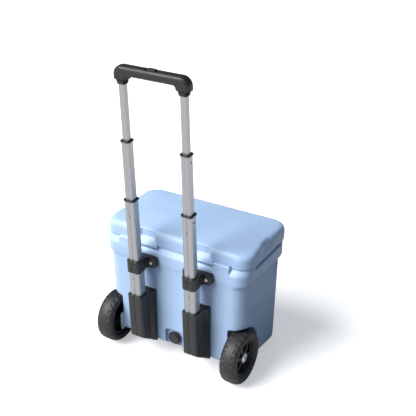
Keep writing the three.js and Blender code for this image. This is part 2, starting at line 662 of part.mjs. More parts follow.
function addAxles() {
  const group = addGroup('axles');
  const plateX = wellWall + FIT;
  const plateOut = plateX + 3;
  const axleEnd = WHEEL_OUTER - HUB_INSET - 4;
  const plate = alongX(
    roundedShape(-BRACKET_HALF, BRACKET_HALF, WHEEL_RADIUS - BRACKET_HALF,
      WHEEL_RADIUS + BRACKET_HALF, 8), plateX, plateOut);
  const axle = join(plate, rodX(AXLE_RADIUS, plateX, axleEnd, 0, WHEEL_RADIUS),
    rodX(AXLE_RADIUS + 5, plateX, plateOut + 4, 0, WHEEL_RADIUS));
  addPair(group, 'axle', axle, FINISH.steel);

  const hubFace = WHEEL_OUTER - HUB_INSET;
  const bore = AXLE_RADIUS + FIT;
  const cap = turnedX([
    [0, hubFace + 4.5], [0, hubFace + 1], [bore, hubFace + 1], [bore, hubFace - 6],
    [bore + 4.5, hubFace - 6], [bore + 4.5, hubFace + FIT], [16, hubFace + FIT],
    [16, hubFace + 2.5], [12, hubFace + 4.5],
  ], 16);
  addPair(group, 'hub_cap', cap.translate([0, 0, WHEEL_RADIUS]), FINISH.steel);
}

// ---------------------------------------------------------------- handle
const sectionRing = ([width, depth], grow = 0, middle = tubeX) => ({
  half: width / 2 + grow, front: -depth / 2 - grow, rear: depth / 2 + grow,
  radius: Math.max(2, width * 0.2 + grow), middle,
});
const tubeBlock = (size, bottom, top, grow = 0) => prism(sectionRing(size, grow), bottom, top);

function addTube(group, name, size, bottom, top) {
  const tube = cut(tubeBlock(size, bottom, top), tubeBlock(size, bottom - 10, top + 10, -TUBE_WALL));
  addPair(group, `${name}_tube`, leaned(tube), FINISH.aluminium);
}

// The collar caps a section's top end and guides the section inside it.
function addCollar(group, name, size, innerSize, top) {
  const collar = cut(
    tubeBlock(size, top - COLLAR_HEIGHT, top, COLLAR_WALL),
    tubeBlock(size, top - COLLAR_HEIGHT - 5, top - 3 + FIT, FIT),
    tubeBlock(innerSize, top - 10, top + 10, 2 * FIT));
  addPair(group, `${name}_collar`, leaned(collar), FINISH.black);
}

// The foot guide is pressed into a section's bottom end and slides in the section below.
function addGuide(group, name, size, bottom) {
  const inside = -TUBE_WALL - FIT;
  const guide = join(tubeBlock(size, bottom - 6, bottom - FIT, 0.8),
    tubeBlock(size, bottom - 1, bottom + 12, inside));
  addPair(group, `${name}_guide`, leaned(guide), FINISH.black);
}

function addStages() {
  const group = addGroup('handle_stages');
  const { base, lower, middle, upper } = TUBE_SECTIONS;
  addTube(group, 'base', base, ...BASE_TUBE);
  const lowerBottom = BASE_TUBE[1] - STAGE_OVERLAP;
  addTube(group, 'lower', lower, lowerBottom, lowerTop - 3);
  addCollar(group, 'lower', lower, middle, lowerTop);
  addGuide(group, 'lower', lower, lowerBottom);
  const middleBottom = lowerTop - STAGE_OVERLAP - 7;
  addTube(group, 'middle', middle, middleBottom, middleTop - 3);
  addCollar(group, 'middle', middle, upper, middleTop);
  addGuide(group, 'middle', middle, middleBottom);
  const upperBottom = middleTop - STAGE_OVERLAP - 7;
  addTube(group, 'upper', upper, upperBottom, gripBottom + 12);
  addGuide(group, 'upper', upper, upperBottom);
  return upperBottom;
}

function addGrip(upperBottom) {
  const group = addGroup('grip');
  const { upper } = TUBE_SECTIONS;
  const barBottom = gripBottom + GRIP_LEG_DROP;
  const legInner = GRIP_HALF_WIDTH - GRIP_LEG;
  const outline = new THREE.Shape();
  outline.moveTo(-GRIP_HALF_WIDTH, gripBottom);
  outline.lineTo(-legInner, gripBottom);
  outline.lineTo(-legInner, barBottom - 8);
  outline.absarc(8 - legInner, barBottom - 8, 8, Math.PI, Math.PI / 2, true);
  outline.lineTo(legInner - 8, barBottom);
  outline.absarc(legInner - 8, barBottom - 8, 8, Math.PI / 2, 0, true);
  outline.lineTo(legInner, gripBottom);
  outline.lineTo(GRIP_HALF_WIDTH, gripBottom);
  outline.lineTo(GRIP_HALF_WIDTH, gripTop - GRIP_CORNER);
  outline.absarc(GRIP_HALF_WIDTH - GRIP_CORNER, gripTop - GRIP_CORNER, GRIP_CORNER, 0,
    Math.PI / 2);
  outline.lineTo(GRIP_CORNER - GRIP_HALF_WIDTH, gripTop);
  outline.absarc(GRIP_CORNER - GRIP_HALF_WIDTH, gripTop - GRIP_CORNER, GRIP_CORNER,
    Math.PI / 2, Math.PI);
  const yokeRoom = [barBottom + 5, gripTop - 9];
  const socket = tubeBlock(upper, gripBottom - 5, yokeRoom[0] + 2, FIT);
  const body = cut(
    alongY(outline, -GRIP_DEPTH / 2, GRIP_DEPTH / 2),
    onBothSides(socket),
    box(-tubeX - 8, tubeX + 8, -6, 6, ...yokeRoom),
    box(-BUTTON_HALF, BUTTON_HALF, -BUTTON_DEPTH - FIT, BUTTON_DEPTH + FIT,
      yokeRoom[0] + 6, gripTop + 10),
    rodZ(5.5, barBottom + 2, yokeRoom[0] + 5, 0, 0));
  addPiece(group, 'grip', leaned(body), FINISH.black);

  const buttonBottom = yokeRoom[1] - 4;
  const button = prism({
    half: BUTTON_HALF - FIT, front: -BUTTON_DEPTH, rear: BUTTON_DEPTH, radius: 4,
  }, buttonBottom, gripTop + BUTTON_TRAVEL);
  addPiece(group, 'push_button', leaned(button), FINISH.rubber);
  const yokeBottom = yokeRoom[0] + BUTTON_TRAVEL + FIT * 3;
  const yoke = join(
    box(-tubeX - 5, tubeX + 5, -5, 5, yokeBottom, buttonBottom - FIT),
    onBothSides(rodZ(2, upperBottom + 20, yokeBottom + 1, tubeX, 0, 12)));
  addPiece(group, 'release_yoke', leaned(yoke), FINISH.steel);
  const springTop = yokeBottom - FIT;
  const spring = cut(rodZ(4.8, barBottom + 2 + FIT, springTop, 0, 0),
    rodZ(3.4, barBottom - 5, springTop + 5, 0, 0));
  addPiece(group, 'button_spring', leaned(spring), FINISH.spring);

  const boot = cut(
    loft(ring({ ...sectionRing(upper, 3), z: bootBottom }),
      ring({ ...sectionRing(upper, 6), z: bootBottom + BOOT_HEIGHT })),
    tubeBlock(upper, bootBottom - 5, gripBottom + 5, FIT));
  addPair(group, 'boot', leaned(boot), FINISH.rubber);
}

function addClamps() {
  const group = addGroup('clamps');
  const { base, lower } = TUBE_SECTIONS;
  const bottom = clampTop - CLAMP_HEIGHT;
  const wrap = leaned(tubeBlock(base, bottom, clampTop, CLAMP_WALL));
  const ear = alongY(
    roundedShape(tubeX - CLAMP_EAR_HALF, tubeX + CLAMP_EAR_HALF, bottom + 2, clampTop - 4, 9),
    bandRear + FIT, clampFace);
  const bridge = box(tubeX - base[0] / 2 - CLAMP_WALL, tubeX + base[0] / 2 + CLAMP_WALL,
    bandRear + FIT, TUBE_SETBACK + TUBE_LEAN * clampMiddle, bottom + 1, clampTop - 3);
  const bore = leaned(join(tubeBlock(base, bottom - 20, BASE_TUBE[1] + FIT, FIT),
    tubeBlock(lower, bottom, clampTop + 20, 2 * FIT)));
  const clamp = cut(join(wrap, ear, bridge), bore,
    ...boltPlaces.map(([x, z]) => rodY(3.4, bandRear - 5, clampFace + 5, x, z, 8)));
  addPair(group, 'tube_clamp', clamp, FINISH.black);
  boltPlaces.forEach(([x, z], place) => {
    const bolt = join(rodY(3, 4, clampFace + FIT + 1, x, z, 8),
      rodY(6.5, clampFace + FIT, clampFace + FIT + 4, x, z, 8));
    addPair(group, `clamp_bolt_${['inner', 'outer'][place]}`, bolt, FINISH.steel);
  });
}

function addSleeves() {
  const group = addGroup('sleeves');
  const { base } = TUBE_SECTIONS;
  const tubFace = wallRear + FIT;
  const backFace = TUBE_SETBACK + base[1] / 2 + SLEEVE_WALL;
  const plan = new THREE.Shape();
  plan.moveTo(tubeX - SLEEVE_FOOT_HALF, 0);
  plan.lineTo(tubeX + SLEEVE_FOOT_HALF, 0);
  plan.lineTo(tubeX + SLEEVE_FOOT_HALF, tubFace + 6);
  plan.lineTo(tubeX + SLEEVE_BACK_HALF + 2, tubFace + 22);
  plan.lineTo(tubeX + SLEEVE_BACK_HALF, backFace - 5);
  plan.lineTo(tubeX + SLEEVE_BACK_HALF - 5, backFace);
  plan.lineTo(tubeX - SLEEVE_BACK_HALF + 5, backFace);
  plan.lineTo(tubeX - SLEEVE_BACK_HALF, backFace - 5);
  plan.lineTo(tubeX - SLEEVE_BACK_HALF - 2, tubFace + 22);
  plan.lineTo(tubeX - SLEEVE_FOOT_HALF, tubFace + 6);
  const block = toSolid(new THREE.ExtrudeGeometry(plan, {
    depth: SLEEVE_TOP - SLEEVE_BOTTOM + 12, bevelEnabled: false,
  }).translate(0, 0, SLEEVE_BOTTOM - 2));
  const shifted = block.rotate([-leanAngle * 180 / Math.PI, 0, 0]);
  const bevel = new THREE.Shape();
  bevel.moveTo(tubFace - 30, SLEEVE_BOTTOM - SLEEVE_BEVEL / 2);
  bevel.lineTo(tubFace - 30, -60);
  bevel.lineTo(backFace + 60, -60);
  bevel.lineTo(backFace + 60, SLEEVE_BOTTOM + SLEEVE_BEVEL * (60 + backFace - tubFace)
    / (backFace - tubFace));
  bevel.lineTo(tubFace, SLEEVE_BOTTOM);
  const sleeve = cut(shifted,
    box(0, TUBE_SPACING, -80, tubFace, 0, TUB_HEIGHT),
    box(0, TUBE_SPACING, -80, backFace + 80, SLEEVE_TOP, TUB_HEIGHT),
    alongX(bevel, 0, TUBE_SPACING),
    leaned(tubeBlock(base, BASE_TUBE[0] - FIT, TUB_HEIGHT, FIT)));
  addPair(group, 'tube_sleeve', sleeve, FINISH.black);
}

addTub();
addDrain();
addLid();
addLatch();
for (const [name, side] of SIDES) addWheel(name, side);
addAxles();
addClamps();
addSleeves();
addGrip(addStages());

// The origin is on the ground, in the middle of the whole object's box.
const extent = new THREE.Box3().setFromObject(cooler);
cooler.position.y = -(extent.min.y + extent.max.y) / 2;

export default cooler;
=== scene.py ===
"""Looks of a hard-sided cooler box on wheels with a telescoping towing handle."""

import logging
import math
from dataclasses import dataclass, field
from enum import Enum

import bmesh
import bpy
import numpy as np
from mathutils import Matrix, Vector
from numpy.typing import NDArray


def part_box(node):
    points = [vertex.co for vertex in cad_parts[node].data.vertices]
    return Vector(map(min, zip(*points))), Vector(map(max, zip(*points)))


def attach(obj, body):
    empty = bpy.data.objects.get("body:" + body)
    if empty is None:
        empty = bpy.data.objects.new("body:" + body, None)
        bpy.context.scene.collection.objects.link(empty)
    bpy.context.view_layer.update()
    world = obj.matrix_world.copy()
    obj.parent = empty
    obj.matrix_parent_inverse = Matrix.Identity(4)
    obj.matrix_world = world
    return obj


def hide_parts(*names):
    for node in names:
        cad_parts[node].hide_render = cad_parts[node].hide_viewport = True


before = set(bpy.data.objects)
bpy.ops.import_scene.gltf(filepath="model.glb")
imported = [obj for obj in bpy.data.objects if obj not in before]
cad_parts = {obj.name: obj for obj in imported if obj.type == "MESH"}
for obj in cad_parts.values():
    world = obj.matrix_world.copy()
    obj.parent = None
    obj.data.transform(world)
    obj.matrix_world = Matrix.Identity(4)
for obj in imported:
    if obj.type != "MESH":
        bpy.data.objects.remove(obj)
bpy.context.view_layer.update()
LOG = logging.getLogger("cooler")
Array = NDArray[np.float64]

# Shapes are worked out in millimetres with the wheel axle at y = 0 and the ground at z = 0.
MM = 0.001
AXLE_Y = sum(corner.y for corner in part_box("axle_left")) / 2 / MM
WHEEL_X = sum(corner.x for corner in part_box("tyre_right")) / 2 / MM
WHEEL_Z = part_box("tyre_right")[1].z / 2 / MM
TUBE_X = sum(corner.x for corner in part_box("base_tube_right")) / 2 / MM
TUBE_SETBACK = 53.6
TUBE_SLOPE = 0.0407
TUBE_LEAN = math.atan(TUBE_SLOPE)
SEAM_Z = 403.0
HINGE_Y, HINGE_Z = 8.0, 404.0
LUG_RADIUS = 8.0
UNDER_SLOPE = 0.12616
# Half width, front, rear and corner radius of the small ring in the cavity's middle.
CAVITY_MIDDLE = (120.5, -130.5, -129.5, 0.5)
# A distance from a hollow's outline that leaves a point where it is.
FAR = 50.0


class Side(Enum):
    """The two sides of the cooler, with the sign of x."""

    LEFT = -1
    RIGHT = 1

    @property
    def word(self) -> str:
        """The side's name as the nodes spell it."""
        return self.name.lower()


class Body(Enum):
    """The bodies that pieces ride on."""

    TUB = "tub"
    LID = "lid"
    LATCH = "latch"
    WHEEL_LEFT = "wheel_left"
    WHEEL_RIGHT = "wheel_right"
    WASHER = "drain_washer"
    PLUG = "drain_plug"
    LOWER = "lower_stage"
    MIDDLE = "middle_stage"
    UPPER = "upper_stage"
    RELEASE = "release"


# ------------------------------------------------------------------ surfaces
@dataclass
class Surface:
    """Points in millimetres and the faces between them."""

    points: Array
    quads: NDArray[np.int64] = field(default_factory=lambda: np.zeros((0, 4), np.int64))
    tris: NDArray[np.int64] = field(default_factory=lambda: np.zeros((0, 3), np.int64))
    caps: list[NDArray[np.int64]] = field(default_factory=list)

    def mirrored(self) -> "Surface":
        """The mirror twin across the middle plane, with its faces turned back outwards."""
        return Surface(self.points * (-1, 1, 1), self.quads[:, ::-1], self.tris[:, ::-1],
                       [cap[::-1] for cap in self.caps])

    def moved(self, x: float = 0.0, y: float = 0.0, z: float = 0.0) -> "Surface":
        """The same surface shifted in millimetres."""
        return Surface(self.points + (x, y, z), self.quads, self.tris, self.caps)

    def on(self, side: Side) -> "Surface":
        """The surface as drawn for the right side, or its twin for the left."""
        return self if side is Side.RIGHT else self.mirrored()


def joined(*parts: Surface) -> Surface:
    """Several surfaces as one, each kept whole.

    Args:
        *parts: The surfaces.

    Returns:
        One surface, its parts in the order given.
    """
    starts = np.cumsum([0] + [len(part.points) for part in parts[:-1]])
    caps = [cap + start for part, start in zip(parts, starts) for cap in part.caps]
    return Surface(np.concatenate([part.points for part in parts]),
                   np.concatenate([part.quads + start for part, start in zip(parts, starts)]),
                   np.concatenate([part.tris + start for part, start in zip(parts, starts)]),
                   caps)


def woven(points: Array, wrap_rows: bool = False, cap_first: bool = False,
          cap_last: bool = False) -> Surface:
    """A grid of points turned into a closed band: columns run round, rows run along.

    Each face joins a point to its neighbours one column and one row on, so that columns
    running anticlockwise and rows running upwards leave the faces pointing outwards.

    Args:
        points: Rows by columns by three.
        wrap_rows: Joins the last row back to the first, as round a ring's section.
        cap_first: Closes the first row with one face.
        cap_last: Closes the last row with one face.

    Returns:
        The surface.
    """
    rows, columns = points.shape[:2]
    number = np.arange(rows * columns).reshape(rows, columns)
    if wrap_rows:
        number = np.concatenate([number, number[:1]])
    beside = np.roll(number, -1, axis=1)
    quads = np.stack([number[:-1], beside[:-1], beside[1:], number[1:]], -1).reshape(-1, 4)
    caps = []
    if cap_first:
        caps.append(number[0][::-1])
    if cap_last:
        caps.append(number[-1])
    return Surface(points.reshape(-1, 3), quads, caps=caps)


def make_piece(name: str, surface: Surface, body: Body, finish: "Finish",
               stands_for: tuple[str, ...] = (), crease: float = 38.0) -> bpy.types.Object:
    """Puts a surface into a mesh, merges its doubled points and hangs it on its body.

    Args:
        name: The piece's name.
        surface: Its shape.
        body: The body that it moves with.
        finish: What it is made of.
        stands_for: CAD nodes that it replaces.
        crease: Edges sharper than this many degrees stay sharp.

    Returns:
        The new object.
    """
    corners = [surface.quads.ravel(), surface.tris.ravel(), *surface.caps]
    counts = np.concatenate([np.full(len(surface.quads), 4), np.full(len(surface.tris), 3),
                             np.array([len(cap) for cap in surface.caps], int)])
    mesh = bpy.data.meshes.new(name)
    mesh.vertices.add(len(surface.points))
    place = (surface.points + (0, AXLE_Y, 0)) * MM
    mesh.vertices.foreach_set("co", place.astype(np.float32).ravel())
    flat = np.concatenate(corners).astype(np.int32)
    mesh.loops.add(len(flat))
    mesh.loops.foreach_set("vertex_index", flat)
    mesh.polygons.add(len(counts))
    starts = np.concatenate([[0], np.cumsum(counts)[:-1]]).astype(np.int32)
    mesh.polygons.foreach_set("loop_start", starts)
    mesh.update(calc_edges=True)
    tidy = bmesh.new()
    tidy.from_mesh(mesh)
    bmesh.ops.remove_doubles(tidy, verts=tidy.verts, dist=2e-5)
    bmesh.ops.dissolve_degenerate(tidy, dist=1e-6, edges=tidy.edges)
    tidy.to_mesh(mesh)
    tidy.free()
    mesh.validate()
    mesh.shade_smooth()
    mesh.set_sharp_from_angle(angle=math.radians(crease))
    mesh.materials.append(finish.material())
    piece = bpy.data.objects.new(name, mesh)
    bpy.context.scene.collection.objects.link(piece)
    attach(piece, body.value)
    if stands_for:
        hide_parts(*stands_for)
    return piece


# ------------------------------------------------------------------ outlines
def rounded_rings(half: Array, front: Array, rear: Array, radius: Array,
                  flats: tuple[int, int] = (6, 6), arcs: int = 6) -> Array:
    """Level rounded rectangles with the same number of points round each.

    Each corner is a quarter circle about its centre, and each flat is divided evenly
    between the ends of its two corners, starting at the right rear corner and running
    anticlockwise.

    Args:
        half: Half widths, one for each ring.
        front: Front edges (low y).
        rear: Rear edges (high y).
        radius: Corner radii.
        flats: Steps along the front and rear flats, and along the side flats.
        arcs: Steps round each corner.

    Returns:
        Rings by points by x and y.
    """
    half, front, rear, radius = (np.atleast_1d(np.asarray(v, float))[:, None]
                                 for v in np.broadcast_arrays(half, front, rear, radius))
    turned = []
    for quarter, (sx, sy) in enumerate([(1, 1), (-1, 1), (-1, -1), (1, -1)]):
        angle = (quarter + np.linspace(0, 1, arcs + 1)) * np.pi / 2
        cy = rear - radius if sy > 0 else front + radius
        turned.append(np.stack([sx * (half - radius) + radius * np.cos(angle),
                                cy + radius * np.sin(angle)], -1))
    rows = []
    for quarter in range(4):
        start, stop = turned[quarter][:, -1:], turned[(quarter + 1) % 4][:, :1]
        share = np.linspace(0, 1, flats[quarter % 2] + 1)[1:-1][None, :, None]
        rows += [turned[quarter], start + (stop - start) * share]
    return np.concatenate(rows, 1)


def outline_normals(loop: Array) -> Array:
    """Outward directions along an anticlockwise loop.

    Each comes from the point's two neighbours.

    Args:
        loop: Points in x and y.

    Returns:
        A unit direction for each point.
    """
    along = np.roll(loop, -1, 0) - np.roll(loop, 1, 0)
    across = np.stack([along[:, 1], -along[:, 0]], -1)
    return across / np.maximum(np.linalg.norm(across, axis=1, keepdims=True), 1e-9)


def rounded_polygon(corners: list[tuple[float, float]], spacing: float = 1.6,
                    passes: int = 3) -> Array:
    """A polygon divided evenly along its sides, then softened.

    Each pass averages every point with its neighbours, which rounds the corners.

    Args:
        corners: The corners in order.
        spacing: About how far apart the new points lie.
        passes: How many times the loop is softened.

    Returns:
        Points in x and y.
    """
    ends = np.array(corners, float)
    sides = np.roll(ends, -1, 0) - ends
    counts = np.maximum(1, np.round(np.linalg.norm(sides, axis=1) / spacing).astype(int))
    loop = np.concatenate([start + side * np.linspace(0, 1, count, endpoint=False)[:, None]
                           for start, side, count in zip(ends, sides, counts)])
    for _ in range(passes):
        loop = (np.roll(loop, 1, 0) + 2 * loop + np.roll(loop, -1, 0)) / 4
    return loop


def stacked(loop: Array, profile: list[tuple[float, float]], ring: bool = False) -> Surface:
    """A loop carried up through (growth, level) steps, in x, y and z.

    Args:
        loop: The section, anticlockwise.
        profile: How far the loop is grown at each level.
        ring: Closes the profile on itself round a bore, instead of capping both ends.

    Returns:
        The surface.
    """
    normals = outline_normals(loop)
    steps = np.array(profile, float)
    flat = loop[None] + normals[None] * steps[:, 0][:, None, None]
    level = np.broadcast_to(steps[:, 1][:, None, None], (*flat.shape[:2], 1))
    return woven(np.concatenate([flat, level], -1), wrap_rows=ring,
                 cap_first=not ring, cap_last=not ring)


def edge_steps(low: float, high: float, round_off: float, steps: int = 4
               ) -> list[tuple[float, float]]:
    """A block's profile with quarter-circle edges: growth -r at each end, 0 between.

    Args:
        low: Level of the lower face.
        high: Level of the upper face.
        round_off: Radius of the edges.
        steps: Steps round each edge.

    Returns:
        (growth, level) pairs, from the lower face up.
    """
    turn = np.linspace(0, np.pi / 2, steps + 1)
    lower = [(-round_off * (1 - math.sin(a)), low + round_off * (1 - math.cos(a)))
             for a in turn]
    upper = [(grow, high + low - level) for grow, level in reversed(lower)]
    return lower + upper


def to_x(surface: Surface) -> Surface:
    """Turns a surface drawn along z to run along x, keeping its faces outwards."""
    surface.points = surface.points[:, [2, 0, 1]]
    return surface


def to_y(surface: Surface) -> Surface:
    """Turns a surface drawn along z to run along y, keeping its faces outwards."""
    surface.points = surface.points[:, [1, 2, 0]]
    return surface


def lathed(profile: list[tuple[float, float]], steps: int, ring: bool = False,
           spacing: float = 0.0) -> Surface:
    """(radius, along) pairs turned about the z axis.

    Args:
        profile: The pairs; a solid's start and end at radius 0.
        steps: Points round the axis.
        ring: Closes the profile on itself.
        spacing: Divides the profile to this step, or leaves it when 0.

    Returns:
        The turned surface.
    """
    shape = np.array(profile, float)
    if spacing:
        shape = divided(shape, spacing, closed=ring)
    angle = np.arange(steps) * 2 * np.pi / steps
    grid = np.stack([shape[:, :1] * np.cos(angle), shape[:, :1] * np.sin(angle),
                     np.broadcast_to(shape[:, 1:], (len(shape), steps))], -1)
    return woven(grid, wrap_rows=ring)


def divided(path: Array, spacing: float, closed: bool = False) -> Array:
    """A path of points with new ones added evenly along each stretch.

    Args:
        path: Points in order.
        spacing: The longest step between points.
        closed: Divides the stretch from the last point to the first too.

    Returns:
        The finer path.
    """
    ends = np.concatenate([path, path[:1]]) if closed else path
    length = np.linalg.norm(np.diff(ends, axis=0), axis=1)
    counts = np.maximum(1, np.ceil(length / spacing).astype(int))
    at = np.concatenate([[0], np.cumsum(counts)])
    fine = np.arange(at[-1] + (0 if closed else 1))
    return np.stack([np.interp(fine, at, column) for column in ends.T], -1)


def softened(path: Array, passes: int) -> Array:
    """An open path whose inner points are averaged with their neighbours a few times.

    Args:
        path: Points in order; the first and the last stay.
        passes: How many times the points are averaged.

    Returns:
        The softened path.
    """
    path = path.copy()
    for _ in range(passes):
        path[1:-1] = (path[:-2] + 2 * path[1:-1] + path[2:]) / 4
    return path


def ramp(value: Array, start: float, stop: float) -> Array:
    """A smooth rise from 0 at start to 1 at stop, by 3t^2 - 2t^3."""
    t = np.clip((value - start) / (stop - start), 0, 1)
    return t * t * (3 - 2 * t)


def leaned(points: Array) -> Array:
    """Points drawn along an upright tube, leaned back to the handle's line.

    About x = y = 0, y and z turn by the lean, then move back by the tubes' setback.

    Args:
        points: Points along the upright tube.

    Returns:
        The leaned points.
    """
    x, y, z = points[..., 0], points[..., 1], points[..., 2]
    cos, sin = math.cos(TUBE_LEAN), math.sin(TUBE_LEAN)
    return np.stack([x, TUBE_SETBACK + y * cos + z * sin, z * cos - y * sin], -1)


def lean(surface: Surface) -> Surface:
    """A surface drawn along an upright tube, leaned back to the handle's line."""
    return Surface(leaned(surface.points), surface.quads, surface.tris, surface.caps)


# ------------------------------------------------------------------ hollows in skins
def sunk(points: Array, distance: Array, direction: Array, axis: int, floor: float,
         lip: float) -> Array:
    """Presses a flat-floored pit with rounded lips into a skin.

    A point's signed distance from the pit's outline, within one lip width, is spread
    along the pit's section: a quarter circle over the lip, the straight side and a
    quarter circle into the floor. Points further in go to the floor.

    Args:
        points: Points of the skin.
        distance: Signed distance from the pit's outline, less than 0 inside.
        direction: Unit directions out of the outline.
        axis: 0 to press x towards the middle on both sides, 1 to press y forwards.
        floor: How far out the floor lies on that axis.
        lip: Rounding of the lip and of the floor's edge.

    Returns:
        The moved points.
    """
    sign = np.sign(points[..., 0]) if axis == 0 else np.ones(points.shape[:-1])
    wall = points[..., axis] * sign
    t = np.clip((distance + lip) / (2 * lip), 0, 1)
    over = np.clip((1 - t) / 0.4, 0, 1) * np.pi / 2
    into = np.clip(t / 0.4, 0, 1) * np.pi / 2
    middle = np.clip((t - 0.4) / 0.2, 0, 1)
    side = floor + lip + (wall - floor - 2 * lip) * middle
    level = np.where(t >= 0.6, wall - lip * (1 - np.cos(over)),
                     np.where(t <= 0.4, floor + lip * (1 - np.cos(into)), side))
    across = np.where(t >= 0.6, lip * (1 - np.sin(over)),
                      np.where(t <= 0.4, -lip * (1 - np.sin(into)), 0.0))
    near = (np.abs(distance) < lip) * np.clip((wall - floor) / lip, 0, 1)
    moved = points + direction * ((across - distance) * near)[..., None]
    moved[..., axis] = np.where(wall > floor, np.minimum(level, wall), wall) * sign
    return moved


def box_distance(u: Array, v: Array, low: tuple[float, float], high: tuple[float, float],
                 radius: float) -> tuple[Array, Array, Array]:
    """Signed distance from a rounded rectangle, and its direction.

    Args:
        u: First coordinate of each point.
        v: Second coordinate of each point.
        low: Lower corner in u and v.
        high: Upper corner in u and v.
        radius: The corners' radius.

    Returns:
        The distance, less than 0 inside, and its direction in u and in v.
    """
    centre = (np.array(low) + high) / 2
    reach = (np.array(high) - low) / 2 - radius
    qu, qv = np.abs(u - centre[0]) - reach[0], np.abs(v - centre[1]) - reach[1]
    outside = np.hypot(np.maximum(qu, 0), np.maximum(qv, 0))
    distance = outside + np.minimum(np.maximum(qu, qv), 0) - radius
    corner = (qu > 0) & (qv > 0)
    along_u = np.where(corner, qu / np.maximum(outside, 1e-9), qu >= qv)
    along_v = np.where(corner, qv / np.maximum(outside, 1e-9), qu < qv)
    return distance, along_u * np.sign(u - centre[0]), along_v * np.sign(v - centre[1])


def pushed_out(points: Array, radius: float, inner: float, outer: float,
               way: int) -> Array:
    """Clears a round room for a hinge lug along x.

    Points between two distances from the middle that lie within the radius of the hinge
    line move straight away from it until they are that far off, down or up only.

    Args:
        points: Points of the skin.
        radius: The room's radius.
        inner: Where the room starts, out from the middle.
        outer: Where it ends.
        way: -1 to push points downwards, 1 upwards.

    Returns:
        The moved points.
    """
    dy, dz = points[..., 1] - HINGE_Y, points[..., 2] - HINGE_Z
    off = np.hypot(dy, dz)
    dz = np.where(dz * way < 0, way * 0.05, dz)
    size = np.maximum(np.hypot(dy, dz), 1e-6)
    x = np.abs(points[..., 0])
    inside = (off < radius) & (x > inner) & (x < outer)
    moved = points.copy()
    moved[..., 1] = np.where(inside, HINGE_Y + dy / size * radius, moved[..., 1])
    moved[..., 2] = np.where(inside, HINGE_Z + dz / size * radius, moved[..., 2])
    return moved


# ------------------------------------------------------------------ finishes
Socket = bpy.types.NodeSocket


def new_group(name: str, inputs: dict[str, tuple[str, object]],
              outputs: dict[str, str]) -> bpy.types.ShaderNodeTree:
    """An empty node group with named inputs and outputs.

    Args:
        name: The group's name.
        inputs: Kind and value of each input, by its name.
        outputs: Kind of each output, by its name.

    Returns:
        The group, with its input and output nodes.
    """
    group = bpy.data.node_groups.new(name, "ShaderNodeTree")
    for label, (kind, value) in inputs.items():
        socket = group.interface.new_socket(label, in_out="INPUT", socket_type=kind)
        if value is not None:
            socket.default_value = value
    for label, kind in outputs.items():
        group.interface.new_socket(label, in_out="OUTPUT", socket_type=kind)
    group.nodes.new("NodeGroupInput")
    group.nodes.new("NodeGroupOutput")
    return group


def add_node(tree: bpy.types.ShaderNodeTree, kind: str, inputs: dict[str | int, object],
             **settings: object) -> bpy.types.Node:
    """A node with its settings, and its inputs linked to sockets or set to values.

    Args:
        tree: The tree that takes the node.
        kind: The node's type.
        inputs: A socket to link or a value to set, by label or number.
        **settings: The node's own settings.

    Returns:
        The new node.
    """
    node = tree.nodes.new(kind)
    for name, value in settings.items():
        setattr(node, name, value)
    for label, value in inputs.items():
        if isinstance(value, bpy.types.NodeSocket):
            tree.links.new(value, node.inputs[label])
        else:
            node.inputs[label].default_value = value
    return node


def math_node(tree: bpy.types.ShaderNodeTree, operation: str, *values: object) -> Socket:
    """The output of a Math node on the given values or sockets."""
    node = add_node(tree, "ShaderNodeMath", dict(enumerate(values)), operation=operation)
    return node.outputs[0]


